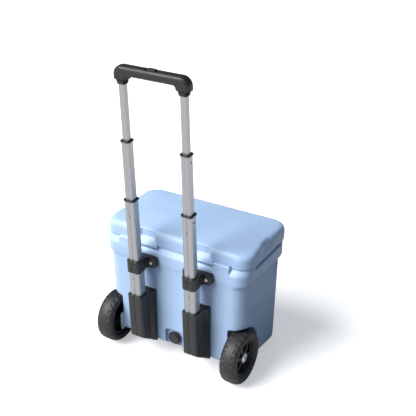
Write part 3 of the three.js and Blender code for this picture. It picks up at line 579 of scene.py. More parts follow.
class Effects:
    """The node groups that several finishes share, each built once."""

    _made: dict[str, bpy.types.ShaderNodeTree] = {}

    @classmethod
    def grain(cls) -> bpy.types.ShaderNodeTree:
        """Moulded grain: fine pimples over a slow swell, as a height and a patchy mask.

        Returns:
            The node group.
        """
        if "grain" in cls._made:
            return cls._made["grain"]
        group = new_group("moulded_grain", {
            "Vector": ("NodeSocketVector", None), "Pimples": ("NodeSocketFloat", 900.0),
            "Swell": ("NodeSocketFloat", 40.0), "Swell Share": ("NodeSocketFloat", 0.5)},
            {"Height": "NodeSocketFloat", "Patches": "NodeSocketFloat"})
        take, give = group.nodes["Group Input"].outputs, group.nodes["Group Output"]
        fine = add_node(group, "ShaderNodeTexNoise", {
            "Vector": take["Vector"], "Scale": take["Pimples"], "Detail": 3.0,
            "Roughness": 0.6}).outputs["Fac"]
        slow = add_node(group, "ShaderNodeTexNoise", {
            "Vector": take["Vector"], "Scale": take["Swell"], "Detail": 2.0,
            "Roughness": 0.5}).outputs["Fac"]
        height = math_node(group, "MULTIPLY_ADD", slow, take["Swell Share"], fine)
        group.links.new(height, give.inputs["Height"])
        wide = add_node(group, "ShaderNodeTexNoise", {
            "Vector": take["Vector"], "Scale": 9.0, "Detail": 3.0,
            "Roughness": 0.55}).outputs["Fac"]
        patches = add_node(group, "ShaderNodeMapRange", {
            0: wide, 1: 0.35, 2: 0.68, 3: 0.0, 4: 1.0}, interpolation_type="SMOOTHSTEP")
        group.links.new(patches.outputs[0], give.inputs["Patches"])
        cls._made["grain"] = group
        return group

    @classmethod
    def lines(cls) -> bpy.types.ShaderNodeTree:
        """Drawn lines along one axis: noise squeezed across and stretched along.

        Returns:
            The node group.
        """
        if "lines" in cls._made:
            return cls._made["lines"]
        group = new_group("drawn_lines", {
            "Vector": ("NodeSocketVector", None), "Across": ("NodeSocketFloat", 2600.0),
            "Along": ("NodeSocketFloat", 12.0)},
            {"Height": "NodeSocketFloat", "Streaks": "NodeSocketFloat"})
        take, give = group.nodes["Group Input"].outputs, group.nodes["Group Output"]
        stretch = add_node(group, "ShaderNodeCombineXYZ", {
            "X": take["Across"], "Y": take["Across"], "Z": take["Along"]}).outputs[0]
        squeezed = add_node(group, "ShaderNodeVectorMath", {
            0: take["Vector"], 1: stretch}, operation="MULTIPLY").outputs[0]
        fine = add_node(group, "ShaderNodeTexNoise", {
            "Vector": squeezed, "Scale": 1.0, "Detail": 2.0}).outputs["Fac"]
        group.links.new(fine, give.inputs["Height"])
        broad = add_node(group, "ShaderNodeVectorMath", {
            0: squeezed, 1: (0.12, 0.12, 0.4)}, operation="MULTIPLY").outputs[0]
        streaks = add_node(group, "ShaderNodeTexNoise", {
            "Vector": broad, "Scale": 1.0, "Detail": 2.0}).outputs["Fac"]
        group.links.new(streaks, give.inputs["Streaks"])
        cls._made["lines"] = group
        return group

    @classmethod
    def scuffs(cls) -> bpy.types.ShaderNodeTree:
        """Sparse short scratches and dust.

        Thin bands of a warped noise are thinned by a second noise.

        Returns:
            The node group.
        """
        if "scuffs" in cls._made:
            return cls._made["scuffs"]
        group = new_group("scuffs", {
            "Vector": ("NodeSocketVector", None), "Scale": ("NodeSocketFloat", 30.0),
            "Amount": ("NodeSocketFloat", 0.5)}, {"Mask": "NodeSocketFloat"})
        take, give = group.nodes["Group Input"].outputs, group.nodes["Group Output"]
        warp = add_node(group, "ShaderNodeTexNoise", {
            "Vector": take["Vector"], "Scale": take["Scale"], "Detail": 5.0,
            "Roughness": 0.7, "Distortion": 1.5}).outputs["Fac"]
        band = math_node(group, "ABSOLUTE", math_node(group, "SUBTRACT", warp, 0.5))
        thin = add_node(group, "ShaderNodeMapRange", {
            0: band, 1: 0.0, 2: 0.018, 3: 1.0, 4: 0.0}).outputs[0]
        spare = add_node(group, "ShaderNodeTexNoise", {
            "Vector": take["Vector"], "Scale": 14.0, "Detail": 1.0}).outputs["Fac"]
        patchy = add_node(group, "ShaderNodeMapRange", {
            0: spare, 1: 0.55, 2: 0.75, 3: 0.0, 4: 1.0}).outputs[0]
        mask = math_node(group, "MULTIPLY", math_node(group, "MULTIPLY", thin, patchy),
                         take["Amount"])
        group.links.new(mask, give.inputs["Mask"])
        cls._made["scuffs"] = group
        return group


@dataclass(frozen=True)
class Finish:
    """A moulded finish: its colour, gloss, grain and scuffs.

    The grain's height drives a Bump, its patches shift the roughness a little, and the
    scuffs lighten the colour and roughen it.
    """

    name: str
    colour: tuple[float, float, float]
    patch_colour: tuple[float, float, float]
    scuff_colour: tuple[float, float, float]
    roughness: float
    rough_patches: float = 0.08
    pimples: float = 900.0
    swell: float = 40.0
    swell_share: float = 0.5
    bump: float = 0.25
    depth: float = 0.0002
    scuffs: float = 0.3

    def start(self) -> tuple[bpy.types.Material, bpy.types.ShaderNodeTree, bpy.types.Node,
                             Socket]:
        """A new material with its tree, shader and object coordinates.

        Returns:
            The material, its tree, its shader and its coordinates.
        """
        made = bpy.data.materials.new(self.name)
        made.use_nodes = True
        tree = made.node_tree
        shader = tree.nodes["Principled BSDF"]
        place = tree.nodes.new("ShaderNodeTexCoord").outputs["Object"]
        return made, tree, shader, place

    def material(self) -> bpy.types.Material:
        """The finish's material, made the first time it is asked for.

        Returns:
            The material.
        """
        known = bpy.data.materials.get(self.name)
        if known:
            return known
        made, tree, shader, place = self.start()
        grain = add_node(tree, "ShaderNodeGroup", {}, node_tree=Effects.grain())
        tree.links.new(place, grain.inputs["Vector"])
        grain.inputs["Pimples"].default_value = self.pimples
        grain.inputs["Swell"].default_value = self.swell
        grain.inputs["Swell Share"].default_value = self.swell_share
        scuff = add_node(tree, "ShaderNodeGroup", {}, node_tree=Effects.scuffs())
        tree.links.new(place, scuff.inputs["Vector"])
        scuff.inputs["Amount"].default_value = self.scuffs
        patched = add_node(tree, "ShaderNodeMix", {
            "Factor": grain.outputs["Patches"], 6: (*self.colour, 1.0),
            7: (*self.patch_colour, 1.0)}, data_type="RGBA").outputs[2]
        worn = add_node(tree, "ShaderNodeMix", {
            "Factor": scuff.outputs["Mask"], 6: patched,
            7: (*self.scuff_colour, 1.0)}, data_type="RGBA").outputs[2]
        tree.links.new(worn, shader.inputs["Base Color"])
        rough = math_node(tree, "MULTIPLY_ADD", grain.outputs["Patches"],
                          self.rough_patches, self.roughness)
        rough = math_node(tree, "MULTIPLY_ADD", scuff.outputs["Mask"], 0.2, rough)
        tree.links.new(rough, shader.inputs["Roughness"])
        bump = add_node(tree, "ShaderNodeBump", {
            "Strength": self.bump, "Distance": self.depth,
            "Height": grain.outputs["Height"]}).outputs[0]
        tree.links.new(bump, shader.inputs["Normal"])
        return made


@dataclass(frozen=True)
class DrawnMetal(Finish):
    """A metal with lines drawn along its length.

    The lines drive the bump, and their streaks shift the colour and roughness.
    """

    across: float = 2600.0
    along: float = 12.0

    def material(self) -> bpy.types.Material:
        """The finish's material, made the first time it is asked for.

        Returns:
            The material.
        """
        known = bpy.data.materials.get(self.name)
        if known:
            return known
        made, tree, shader, place = self.start()
        shader.inputs["Metallic"].default_value = 1.0
        lines = add_node(tree, "ShaderNodeGroup", {}, node_tree=Effects.lines())
        tree.links.new(place, lines.inputs["Vector"])
        lines.inputs["Across"].default_value = self.across
        lines.inputs["Along"].default_value = self.along
        scuff = add_node(tree, "ShaderNodeGroup", {}, node_tree=Effects.scuffs())
        tree.links.new(place, scuff.inputs["Vector"])
        scuff.inputs["Amount"].default_value = self.scuffs
        streaked = add_node(tree, "ShaderNodeMix", {
            "Factor": lines.outputs["Streaks"], 6: (*self.colour, 1.0),
            7: (*self.patch_colour, 1.0)}, data_type="RGBA").outputs[2]
        worn = add_node(tree, "ShaderNodeMix", {
            "Factor": scuff.outputs["Mask"], 6: streaked,
            7: (*self.scuff_colour, 1.0)}, data_type="RGBA").outputs[2]
        tree.links.new(worn, shader.inputs["Base Color"])
        rough = math_node(tree, "MULTIPLY_ADD", lines.outputs["Streaks"],
                          self.rough_patches, self.roughness)
        tree.links.new(rough, shader.inputs["Roughness"])
        bump = add_node(tree, "ShaderNodeBump", {
            "Strength": self.bump, "Distance": self.depth,
            "Height": lines.outputs["Height"]}).outputs[0]
        tree.links.new(bump, shader.inputs["Normal"])
        return made


SHELL_BLUE = Finish("shell_blue", (0.43, 0.59, 0.84), (0.45, 0.61, 0.86), (0.58, 0.72, 0.9),
                    0.42, pimples=620.0, swell=55.0, swell_share=0.9, bump=0.2,
                    depth=0.0003, scuffs=0.12)
BLACK_NYLON = Finish("black_nylon", (0.012, 0.012, 0.013), (0.016, 0.016, 0.017),
                     (0.07, 0.07, 0.07), 0.42, pimples=1400.0, bump=0.35, scuffs=0.25)
SOFT_RUBBER = Finish("soft_rubber", (0.011, 0.011, 0.012), (0.015, 0.015, 0.016),
                     (0.06, 0.06, 0.06), 0.62, pimples=1100.0, bump=0.3, scuffs=0.2)
TYRE_RUBBER = Finish("tyre_rubber", (0.014, 0.014, 0.015), (0.022, 0.021, 0.020),
                     (0.08, 0.075, 0.07), 0.5, rough_patches=0.15, pimples=800.0,
                     bump=0.3, scuffs=0.35)
FOAM = Finish("rigid_foam", (0.72, 0.60, 0.32), (0.66, 0.53, 0.26), (0.8, 0.7, 0.45), 0.85,
              pimples=520.0, swell=160.0, swell_share=1.0, bump=0.8, depth=0.0008)
DRAWN_ALUMINIUM = DrawnMetal("drawn_aluminium", (0.38, 0.38, 0.385), (0.44, 0.44, 0.445),
                             (0.32, 0.32, 0.32), 0.36, rough_patches=0.1, bump=0.25,
                             depth=0.00006, scuffs=0.12)
BRIGHT_STEEL = DrawnMetal("bright_steel", (0.56, 0.57, 0.58), (0.68, 0.68, 0.69),
                          (0.4, 0.4, 0.4), 0.24, rough_patches=0.12, bump=0.2,
                          depth=0.00004, across=900.0, along=900.0, scuffs=0.2)
SPRING_WIRE = DrawnMetal("spring_wire", (0.5, 0.5, 0.52), (0.6, 0.6, 0.62), (0.3, 0.3, 0.3),
                         0.3, bump=0.2, depth=0.00004, across=400.0, along=2600.0)


# ------------------------------------------------------------------ sub-assemblies
@dataclass
class Tub:
    """The insulated tub: outer skin, rim, cavity, wheel wells and hollows, and its lugs."""

    half: float = 258.0
    rear: float = 3.0
    front: float = -268.0
    band_half: float = 259.5
    ledge: float = 18.0
    wall_half: float = 250.5
    draft: float = 7.0
    under_front: float = 16.0
    under_pivot: float = -253.5
    under_slope: float = UNDER_SLOPE
    edge: float = 18.0
    well_radius: float = 98.0
    well_wall: float = 197.0
    cavity_step: float = 28.0
    cavity_floor: float = 70.0
    core_skin: float = 4.5
    columns: tuple[int, int] = (118, 64)
    arcs: int = 13
    row_step: float = 3.4

    def outer_levels(self) -> Array:
        """The outer skin's rings, from the underside's middle up to the rim.

        They run round the bottom edge and up the wall and the band.

        Returns:
            Half width, front, rear, corner radius, height and tilt of each ring.
        """
        low = self.wall_half - self.draft
        foot = (self.under_pivot, 16.0)
        reach = (foot[1] - foot[0]) / 2 - self.edge
        levels = [(low - self.edge - reach, foot[0] + self.edge + reach,
                   foot[1] - self.edge - reach, 0.5, self.under_front, self.under_slope)]
        for share in np.linspace(1, 0, 6):
            turn = self.edge * (1 - math.cos(share * math.pi / 2))
            rise = self.edge * (1 - math.sin(share * math.pi / 2))
            levels.append((low - turn, foot[0] + turn, foot[1] - turn, 45 - turn / 2,
                           self.under_front + rise, self.under_slope))
        levels += [
            (self.wall_half, self.under_pivot - self.draft, 16.0, 48.0, 335.0, 0.0),
            (self.band_half, -269.5, self.ledge, 48.0, 350.0, 0.0),
            (self.band_half, -269.5, self.ledge, 48.0, 384.0, 0.0),
            (self.half, self.front, self.rear, 40.0, SEAM_Z, 0.0),
            (220.0, -230.0, -30.0, 30.0, SEAM_Z, 0.0)]
        return np.array(levels)

    def inner_levels(self) -> Array:
        """The cavity's rings, from the rim down to the middle of its floor.

        Returns:
            Half width, front, rear, corner radius, height and tilt of each ring.
        """
        return np.array([
            (220.0, -230.0, -30.0, 30.0, SEAM_Z, 0.0), (220.0, -230.0, -30.0, 30.0, 398.0, 0.0),
            (214.0, -224.0, -36.0, 30.0, 88.0, 0.0), (208.0, -218.0, -42.0, 30.0, 74.0, 0.0),
            (196.0, -206.0, -54.0, 30.0, self.cavity_floor, 0.0),
            (*CAVITY_MIDDLE, self.cavity_floor, 0.0)])

    def rings(self, levels: Array, spacing: float, soften: int) -> Array:
        """Rings of points for a list of levels, divided to a spacing and softened.

        A point's height is its ring's plus the tilt times its y from the pivot.

        Args:
            levels: Half width, front, rear, corner radius, height and tilt of each ring.
            spacing: About how far apart the new rings lie.
            soften: How many times the levels are softened.

        Returns:
            Rings by points by three.
        """
        gaps = np.abs(np.diff(levels[:, [0, 2, 4]], axis=0)).max(1)
        counts = np.maximum(1, np.round(gaps / spacing).astype(int))
        at = np.concatenate([[0], np.cumsum(counts)])
        fine = np.stack([np.interp(np.arange(at[-1] + 1), at, column)
                         for column in levels.T], -1)
        fine = softened(fine, soften)
        flat = rounded_rings(fine[:, 0], fine[:, 1], fine[:, 2], fine[:, 3],
                             self.columns, self.arcs)
        height = fine[:, 4:5] + fine[:, 5:6] * (flat[..., 1] - self.under_pivot)
        return np.concatenate([flat, height[..., None]], -1)

    def well(self, points: Array, grow: float, lip: float) -> Array:
        """Presses the two wheel wells, each a round arch about the axle, open below.

        Args:
            points: Points of the skin.
            grow: How much larger the well is than the open one.
            lip: Rounding of its edges.

        Returns:
            The moved points.
        """
        dy, dz = points[..., 1], points[..., 2] - WHEEL_Z
        off = np.maximum(np.hypot(dy, dz), 1e-6)
        direction = np.stack([np.zeros_like(dy), dy / off, dz / off], -1)
        return sunk(points, off - self.well_radius - grow, direction, 0,
                    self.well_wall - grow, lip)

    def drain_pocket(self, points: Array) -> Array:
        """Presses the drain's pocket into the rear wall, open below.

        Args:
            points: Points of the skin.

        Returns:
            The moved points.
        """
        distance, du, dv = box_distance(points[..., 0], points[..., 2], (-31, -120), (31, 111),
                                        10.0)
        rear = points[..., 1] > -20
        distance = np.where(rear, distance, FAR)
        direction = np.stack([du, np.zeros_like(du), dv], -1)
        return sunk(points, distance, direction, 1, 2.0, 3.4)

    def rim_slot(self, points: Array) -> Array:
        """Presses the finger slot between lid and band into both sides.

        Args:
            points: Points of the skin.

        Returns:
            The moved points.
        """
        distance, du, dv = box_distance(points[..., 1], points[..., 2], (-220, 388), (-45, 470),
                                        2.0)
        direction = np.stack([np.zeros_like(du), du, dv], -1)
        return sunk(points, distance, direction, 0, 250.5, 2.0)

    def lifting_recess(self, points: Array) -> Array:
        """Presses the lifting recess into both sides.

        It is deepest under the band and runs out at its lower edge, with a steep rear end and
        a long sloped front end.

        Args:
            points: Points of the skin.

        Returns:
            The moved points.
        """
        y, z = points[..., 1], points[..., 2]
        depth = 12.0 * np.clip((z - 238) / 96, 0, 1)
        depth *= ramp(y, -31, -37) * ramp(y, -232, -196) * ramp(z, 345, 339)
        limit = self.wall_half - depth
        x = points[..., 0]
        moved = points.copy()
        pressed = np.minimum(np.abs(x), np.where(depth > 0.01, limit, 999.0))
        moved[..., 0] = np.sign(x) * pressed
        return moved

    def lugs(self) -> Surface:
        """The hinge lugs behind the rim.

        They are round on top, and straight from there down onto the sloped ledge.

        Returns:
            The lugs of both sides.
        """
        turn = np.radians(np.linspace(-8, 165, 18))
        outline = np.stack([HINGE_Y + LUG_RADIUS * np.cos(turn),
                            HINGE_Z + LUG_RADIUS * np.sin(turn)], -1)
        base = np.array([(-1.5, 400.5), (2.0, 392.0), (10.0, 384.0), (17.4, 384.0)])
        loop = np.concatenate([outline, base])
        lug = to_x(stacked(loop, edge_steps(144.0, 200.0, 1.5, 3)))
        return joined(lug, lug.mirrored())

    def core(self) -> Surface:
        """The foam between the skins.

        The outer rings are shrunk and the cavity's rings grown, with the same wells, and
        wider hollows round the recesses and the drain.

        Returns:
            The foam's surface.
        """
        skin = self.core_skin
        outer = self.outer_levels()[1:-1] + (-skin, skin, -skin, -4.0, skin, 0.0)
        outer[:, 4] = np.minimum(outer[:, 4], 394.0)
        inner = self.inner_levels()[1:-1] + (skin, -skin, skin, 2.0, -skin, 0.0)
        floor = np.array([(*CAVITY_MIDDLE, self.cavity_floor - skin, 0.0)])
        under = self.outer_levels()[:1] + (0, 0, 0, 0, skin, 0)
        outer = self.rings(np.concatenate([under, outer]), 9.0, 0)
        for low, high, depth in (((-240, 224), (-24, 352), 232.0),
                                 ((-232, 380), (-34, 480), 244.0)):
            distance, du, dv = box_distance(outer[..., 1], outer[..., 2], low, high, 4.0)
            direction = np.stack([np.zeros_like(du), du, dv], -1)
            outer = sunk(outer, distance, direction, 0, depth, 4.0)
        distance, du, dv = box_distance(outer[..., 0], outer[..., 2], (-36, -120), (36, 117), 10.0)
        distance = np.where(outer[..., 1] > -20, distance, FAR)
        outer = sunk(outer, distance, np.stack([du, np.zeros_like(du), dv], -1), 1, -30.0, 4.0)
        outer = self.well(outer, skin, 6.0)
        inner = self.well(self.rings(np.concatenate([inner, floor]), 12.0, 0),
                          self.cavity_step - skin, 9.0)
        return woven(np.concatenate([outer, inner]))

    def build(self) -> None:
        """Makes the moulding, its foam core and its lugs."""
        make_piece("tub_core", self.core(), Body.TUB, FOAM, ("tub_foam",))
        outer = self.rings(self.outer_levels(), self.row_step, 1)
        for press in (self.lifting_recess, self.rim_slot, self.drain_pocket,
                      lambda p: self.well(p, 0.0, 4.2),
                      lambda p: pushed_out(p, 9.5, 56.0, 144.0, -1)):
            outer = press(outer)
        inner = self.rings(self.inner_levels(), 8.0, 0)
        inner = self.well(inner, self.cavity_step, 9.0)
        shell = make_piece("tub_moulding", joined(woven(outer), woven(inner)), Body.TUB,
                           SHELL_BLUE, ("tub_shell", "tub_liner"), crease=50.0)
        make_piece("tub_hinge_lugs", self.lugs(), Body.TUB, SHELL_BLUE)
        LOG.info("tub: %d faces", len(shell.data.polygons))


@dataclass
class Lid:
    """The lid: its crowned top, the plug under it, the tubes' channels and hinge lugs."""

    half: float = 262.0
    front: float = -272.0
    rear: float = 7.0
    bottom: float = 403.6
    plug_drop: float = 10.0
    columns: tuple[int, int] = (128, 68)
    arcs: int = 14

    def levels(self) -> Array:
        """The outer rings, from the side's foot over the rounded edge to the crown.

        Returns:
            Shrink from the lid's outline, height and corner radius of each ring.
        """
        return np.array([(1.6, 403.6, 43.0), (0.3, 404.4, 44.0), (0, 406.0, 44.0),
                         (0, 434.0, 44.0), (1.4, 441.5, 44.4), (4.4, 447.2, 45.5),
                         (9.0, 451.2, 46.5), (15.0, 453.2, 47.5), (22.0, 454.1, 48.5),
                         (58.0, 457.2, 50.0), (100.0, 459.8, 36.0), (139.4, 460.0, 0.1)])

    def shell(self) -> Array:
        """The outer rings, softened along the rows.

        Returns:
            Rings by points by three.
        """
        levels = self.levels()
        gaps = np.hypot(np.diff(levels[:, 0]), np.diff(levels[:, 1]))
        counts = np.maximum(1, np.round(gaps / np.where(levels[1:, 0] > 25, 6.0, 2.6)))
        at = np.concatenate([[0], np.cumsum(counts.astype(int))])
        fine = softened(np.stack([np.interp(np.arange(at[-1] + 1), at, column)
                                  for column in levels.T], -1), 2)
        flat = rounded_rings(self.half - fine[:, 0], self.front + fine[:, 0],
                             self.rear - fine[:, 0], fine[:, 2], self.columns, self.arcs)
        height = np.broadcast_to(fine[:, 1:2, None], (*flat.shape[:2], 1))
        return np.concatenate([flat, height], -1)

    def underside(self) -> Array:
        """The plug's underside, its sides, the gasket's groove and the lid's lower face.

        Returns:
            Rings by points by three.
        """
        drop = self.bottom - self.plug_drop
        levels = np.array([
            (*CAVITY_MIDDLE, drop), (211.0, -221.0, -39.0, 24.0, drop),
            (213.0, -223.0, -37.0, 25.5, drop + 0.7), (214.0, -224.0, -36.0, 26.0, drop + 3),
            (214.0, -224.0, -36.0, 26.0, self.bottom), (217.0, -227.0, -33.0, 29.0, self.bottom),
            (217.1, -227.1, -32.9, 29.1, 406.3), (225.5, -235.5, -24.5, 37.5, 406.3),
            (225.6, -235.6, -24.4, 37.6, self.bottom), (246.0, -256.0, -9.0, 42.0, self.bottom),
            (260.4, -270.4, 5.4, 43.0, self.bottom)])
        flat = rounded_rings(*levels[:, :4].T, self.columns, self.arcs)
        height = np.broadcast_to(levels[:, 4:5, None], (*flat.shape[:2], 1))
        return np.concatenate([flat, height], -1)

    def channels(self, points: Array) -> Array:
        """Cuts the two upright channels that the handle's tubes pass.

        Args:
            points: Points of the skin.

        Returns:
            The moved points.
        """
        distance = np.abs(np.abs(points[..., 0]) - TUBE_X) - 28
        distance = np.where(points[..., 1] > -40, distance, FAR)
        away = np.sign(np.abs(points[..., 0]) - TUBE_X) * np.sign(points[..., 0])
        direction = np.stack([away, np.zeros_like(away), np.zeros_like(away)], -1)
        return sunk(points, distance, direction, 1, -4.0, 6.0)

    def scallops(self, points: Array) -> Array:
        """Presses a finger scallop into the rounded edge at the middle of each side.

        The edge moves in and down by one less the square of the way from its middle.

        Args:
            points: Points of the skin.

        Returns:
            The moved points.
        """
        x, y, z = np.moveaxis(points, -1, 0)
        window = np.clip(1 - ((y + 118) / 40) ** 2, 0, 1) * ramp(z, 414, 436)
        near = np.clip((np.abs(x) - 240) / 20, 0, 1)
        near = near * near * (3 - 2 * near)
        moved = points.copy()
        moved[..., 0] -= np.sign(x) * 6.0 * window * near
        moved[..., 2] -= 1.5 * window * near
        return moved

    def lugs(self) -> Surface:
        """The round hinge lugs in the channels, each joined to the lid by a web.

        Returns:
            The lugs of both sides.
        """
        turn = np.radians(np.linspace(-176, 22, 20))
        barrel = np.stack([HINGE_Y + LUG_RADIUS * np.cos(turn),
                           HINGE_Z + LUG_RADIUS * np.sin(turn)], -1)
        web = np.array([(8.0, 416.0), (1.0, 424.0), (-7.0, 428.0), (-7.0, self.bottom)])
        loop = np.concatenate([barrel, web])
        lug = to_x(stacked(loop, edge_steps(58.0, 142.0, 1.5, 3)))
        return joined(lug, lug.mirrored())

    def core(self) -> Surface:
        """The foam inside the lid: the outer rings shrunk well inside the skin.

        Returns:
            The foam's surface.
        """
        rings = []
        for shrink, z, corner in ((139.4, 408.9, 0.1), (16.0, 408.9, 32.0),
                                  (14.0, 411.0, 32.0), (14.0, 436.0, 32.0),
                                  (22.0, 446.0, 32.0), (34.0, 449.5, 32.0),
                                  (80.0, 454.0, 30.0), (139.4, 455.6, 0.1)):
            flat = rounded_rings(self.half - shrink, self.front + shrink,
                                 self.rear - shrink, corner, (30, 16), 8)[0]
            rings.append(np.concatenate([flat, np.full((len(flat), 1), z)], 1))
        return woven(np.array(rings))

    def build(self) -> None:
        """Makes the lid, its foam core and its lugs."""
        make_piece("lid_core", self.core(), Body.LID, FOAM, ("lid_foam",))
        parts = []
        for skin in (self.shell(), self.underside()):
            skin = self.channels(skin)
            skin = pushed_out(skin, 8.7, 142.6, 201.4, 1)
            skin[..., 2] = np.where((skin[..., 2] < self.bottom) & (skin[..., 1] > -10),
                                    self.bottom, skin[..., 2])
            parts.append(skin)
        parts[0] = self.scallops(parts[0])
        lid = make_piece("lid_moulding", joined(woven(parts[0]), woven(parts[1])), Body.LID,
                         SHELL_BLUE, ("lid_shell",), crease=50.0)
        make_piece("lid_hinge_lugs", self.lugs(), Body.LID, SHELL_BLUE)
        LOG.info("lid: %d faces", len(lid.data.polygons))


@dataclass
class Wheel:
    """One wheel: a tyre with shoulder blocks, a six-spoked rim and its hub cap."""

    side: Side
    half_width: float = 28.5
    blocks: int = 24
    block_rise: float = 2.2
    spokes: int = 6
    steps: int = 300

    def tyre(self) -> Surface:
        """A round-shouldered ring whose radius drops between the shoulder blocks.

        The section is divided finely and softened. Where a point lies on a shoulder, the gaps
        between blocks, a square wave with soft sides in the angle, take a little off its
        radius.

        Returns:
            The tyre about the x axis.
        """
        half = self.half_width
        section = np.array([
            (60.0, half - 6.5), (60.0, 6.5 - half), (63.0, 3.0 - half), (66.0, 2.6 - half),
            (67.5, 1.2 - half), (76.0, 0.2 - half), (80.0, 0.6 - half), (84.2, 4.6 - half),
            (86.6, 10.0 - half), (87.8, 18.0 - half), (88.0, 0.0), (87.8, half - 18.0),
            (86.6, half - 10.0), (84.2, half - 4.6), (80.0, half - 0.6), (76.0, half - 0.2),
            (67.5, half - 1.2), (66.0, half - 2.6), (63.0, half - 3.0)])
        section = divided(section, 1.4, closed=True)
        section = (np.roll(section, 1, 0) + 2 * section + np.roll(section, -1, 0)) / 4
        angle = np.arange(self.steps) * 2 * np.pi / self.steps
        radius = np.broadcast_to(section[:, :1], (len(section), self.steps)).copy()
        along = np.broadcast_to(section[:, 1:], radius.shape)
        shoulder = ramp(np.abs(along), 12.0, 13.5) * ramp(np.abs(along), 27.6, 26.6)
        wave = np.cos(self.blocks * angle[None] + np.where(along > 0, 0.0, math.pi))
        gap = ramp(wave, 0.35, 0.7)
        edge = np.exp(-((np.abs(along) - 12.8) / 0.8) ** 2)
        radius -= np.where(radius > 80, self.block_rise * (shoulder * gap + 0.35 * edge), 0)
        rib = ramp(radius, 67.5, 69.0) * ramp(radius, 79.0, 77.5) * (np.abs(along) > 26)
        notch = rib * ramp(np.cos(2 * self.blocks * angle[None]), 0.75, 0.95)
        along = along - np.sign(along) * 0.5 * notch
        grid = np.stack([radius * np.cos(angle), radius * np.sin(angle), along], -1)
        return to_x(woven(grid, wrap_rows=True))

    def rim(self) -> Surface:
        """Barrel with a rolled lip, hub, thin plate and spokes that widen into both.

        Returns:
            The rim about the x axis.
        """
        barrel = np.array([
            (59.6, -20.0), (59.6, 20.5), (58.6, 22.6), (56.4, 23.0), (54.4, 22.2), (53.4, 20.0),
            (52.6, 14.5), (50.8, 13.0), (50.2, 10.5), (51.2, 8.0), (54.6, 6.5), (55.0, -20.0)])
        hub = np.array([
            (9.0, -20.0), (19.0, -20.0), (20.0, -19.0), (20.0, 14.0), (19.2, 16.6), (17.6, 17.5),
            (15.2, 17.5), (14.6, 16.8), (14.6, 8.5), (9.0, 8.5)])
        plate = [(18.0, 5.0), (18.0, 2.2), (55.0, 2.2), (55.0, 5.0)]
        parts = [lathed(barrel.tolist(), 120, ring=True), lathed(hub.tolist(), 72, ring=True),
                 lathed(plate, 96, ring=True)]
        reach = np.linspace(18.0, 53.5, 22)
        middle = (reach - 35.5) / 18.0
        width = 5.2 + 2.2 * np.abs(middle) ** 3 + 4.5 * ramp(reach, 46.0, 53.5)
        face = 15.2 - 2.8 * ramp(reach, 20.0, 48.0)
        section = rounded_polygon([(1, 1), (-1, 1), (-1, -1), (1, -1)], 0.16, 2)
        for spoke in range(self.spokes):
            across = section[None, :, 0] * width[:, None]
            deep = face[:, None] - 4.5 + 4.5 * section[None, :, 1]
            flow = np.broadcast_to(reach[:, None], across.shape)
            turn = (spoke + 0.25) * 2 * math.pi / self.spokes
            grid = np.stack([flow * math.cos(turn) - across * math.sin(turn),
                             flow * math.sin(turn) + across * math.cos(turn), deep], -1)
            parts.append(woven(grid[:, ::-1], cap_first=True, cap_last=True))
        return to_x(joined(*parts))

    def cap(self) -> Surface:
        """The push-on hub cap: a dished ring with a rolled edge round a raised boss.

        Returns:
            The cap about the x axis.
        """
        return to_x(lathed([
            (0, 22.0), (0.0, 17.8), (15.6, 17.8), (16.0, 18.4), (15.6, 19.4), (14.2, 20.3),
            (12.4, 20.6), (9.6, 20.0), (7.6, 19.4), (6.8, 19.8), (6.4, 21.4), (5.4, 22.0)],
            56, ring=True))

    def build(self) -> None:
        """Makes the wheel's pieces on its side."""
        word = self.side.word
        body = Body.WHEEL_LEFT if self.side is Side.LEFT else Body.WHEEL_RIGHT
        place = {"x": WHEEL_X, "z": WHEEL_Z}
        make_piece(f"tyre_tread_{word}", self.tyre().moved(**place).on(self.side), body,
                   TYRE_RUBBER, (f"tyre_{word}",), crease=60.0)
        make_piece(f"spoked_rim_{word}", self.rim().moved(**place).on(self.side), body,
                   BLACK_NYLON, (f"rim_{word}",))
        make_piece(f"hub_cap_ring_{word}", self.cap().moved(**place).on(self.side), Body.TUB,
                   BRIGHT_STEEL, (f"hub_cap_{word}",))
        socket = to_x(lathed([(0, 23.0), (0.0, 21.0), (4.6, 21.0), (4.4, 22.7), (3.6, 23.1),
                              (2.4, 22.2), (1.2, 22.0)], 24, ring=True))
        make_piece(f"hub_cap_boss_{word}", socket.moved(**place).on(self.side), Body.TUB,
                   BLACK_NYLON)
        LOG.info("wheel %s", word)


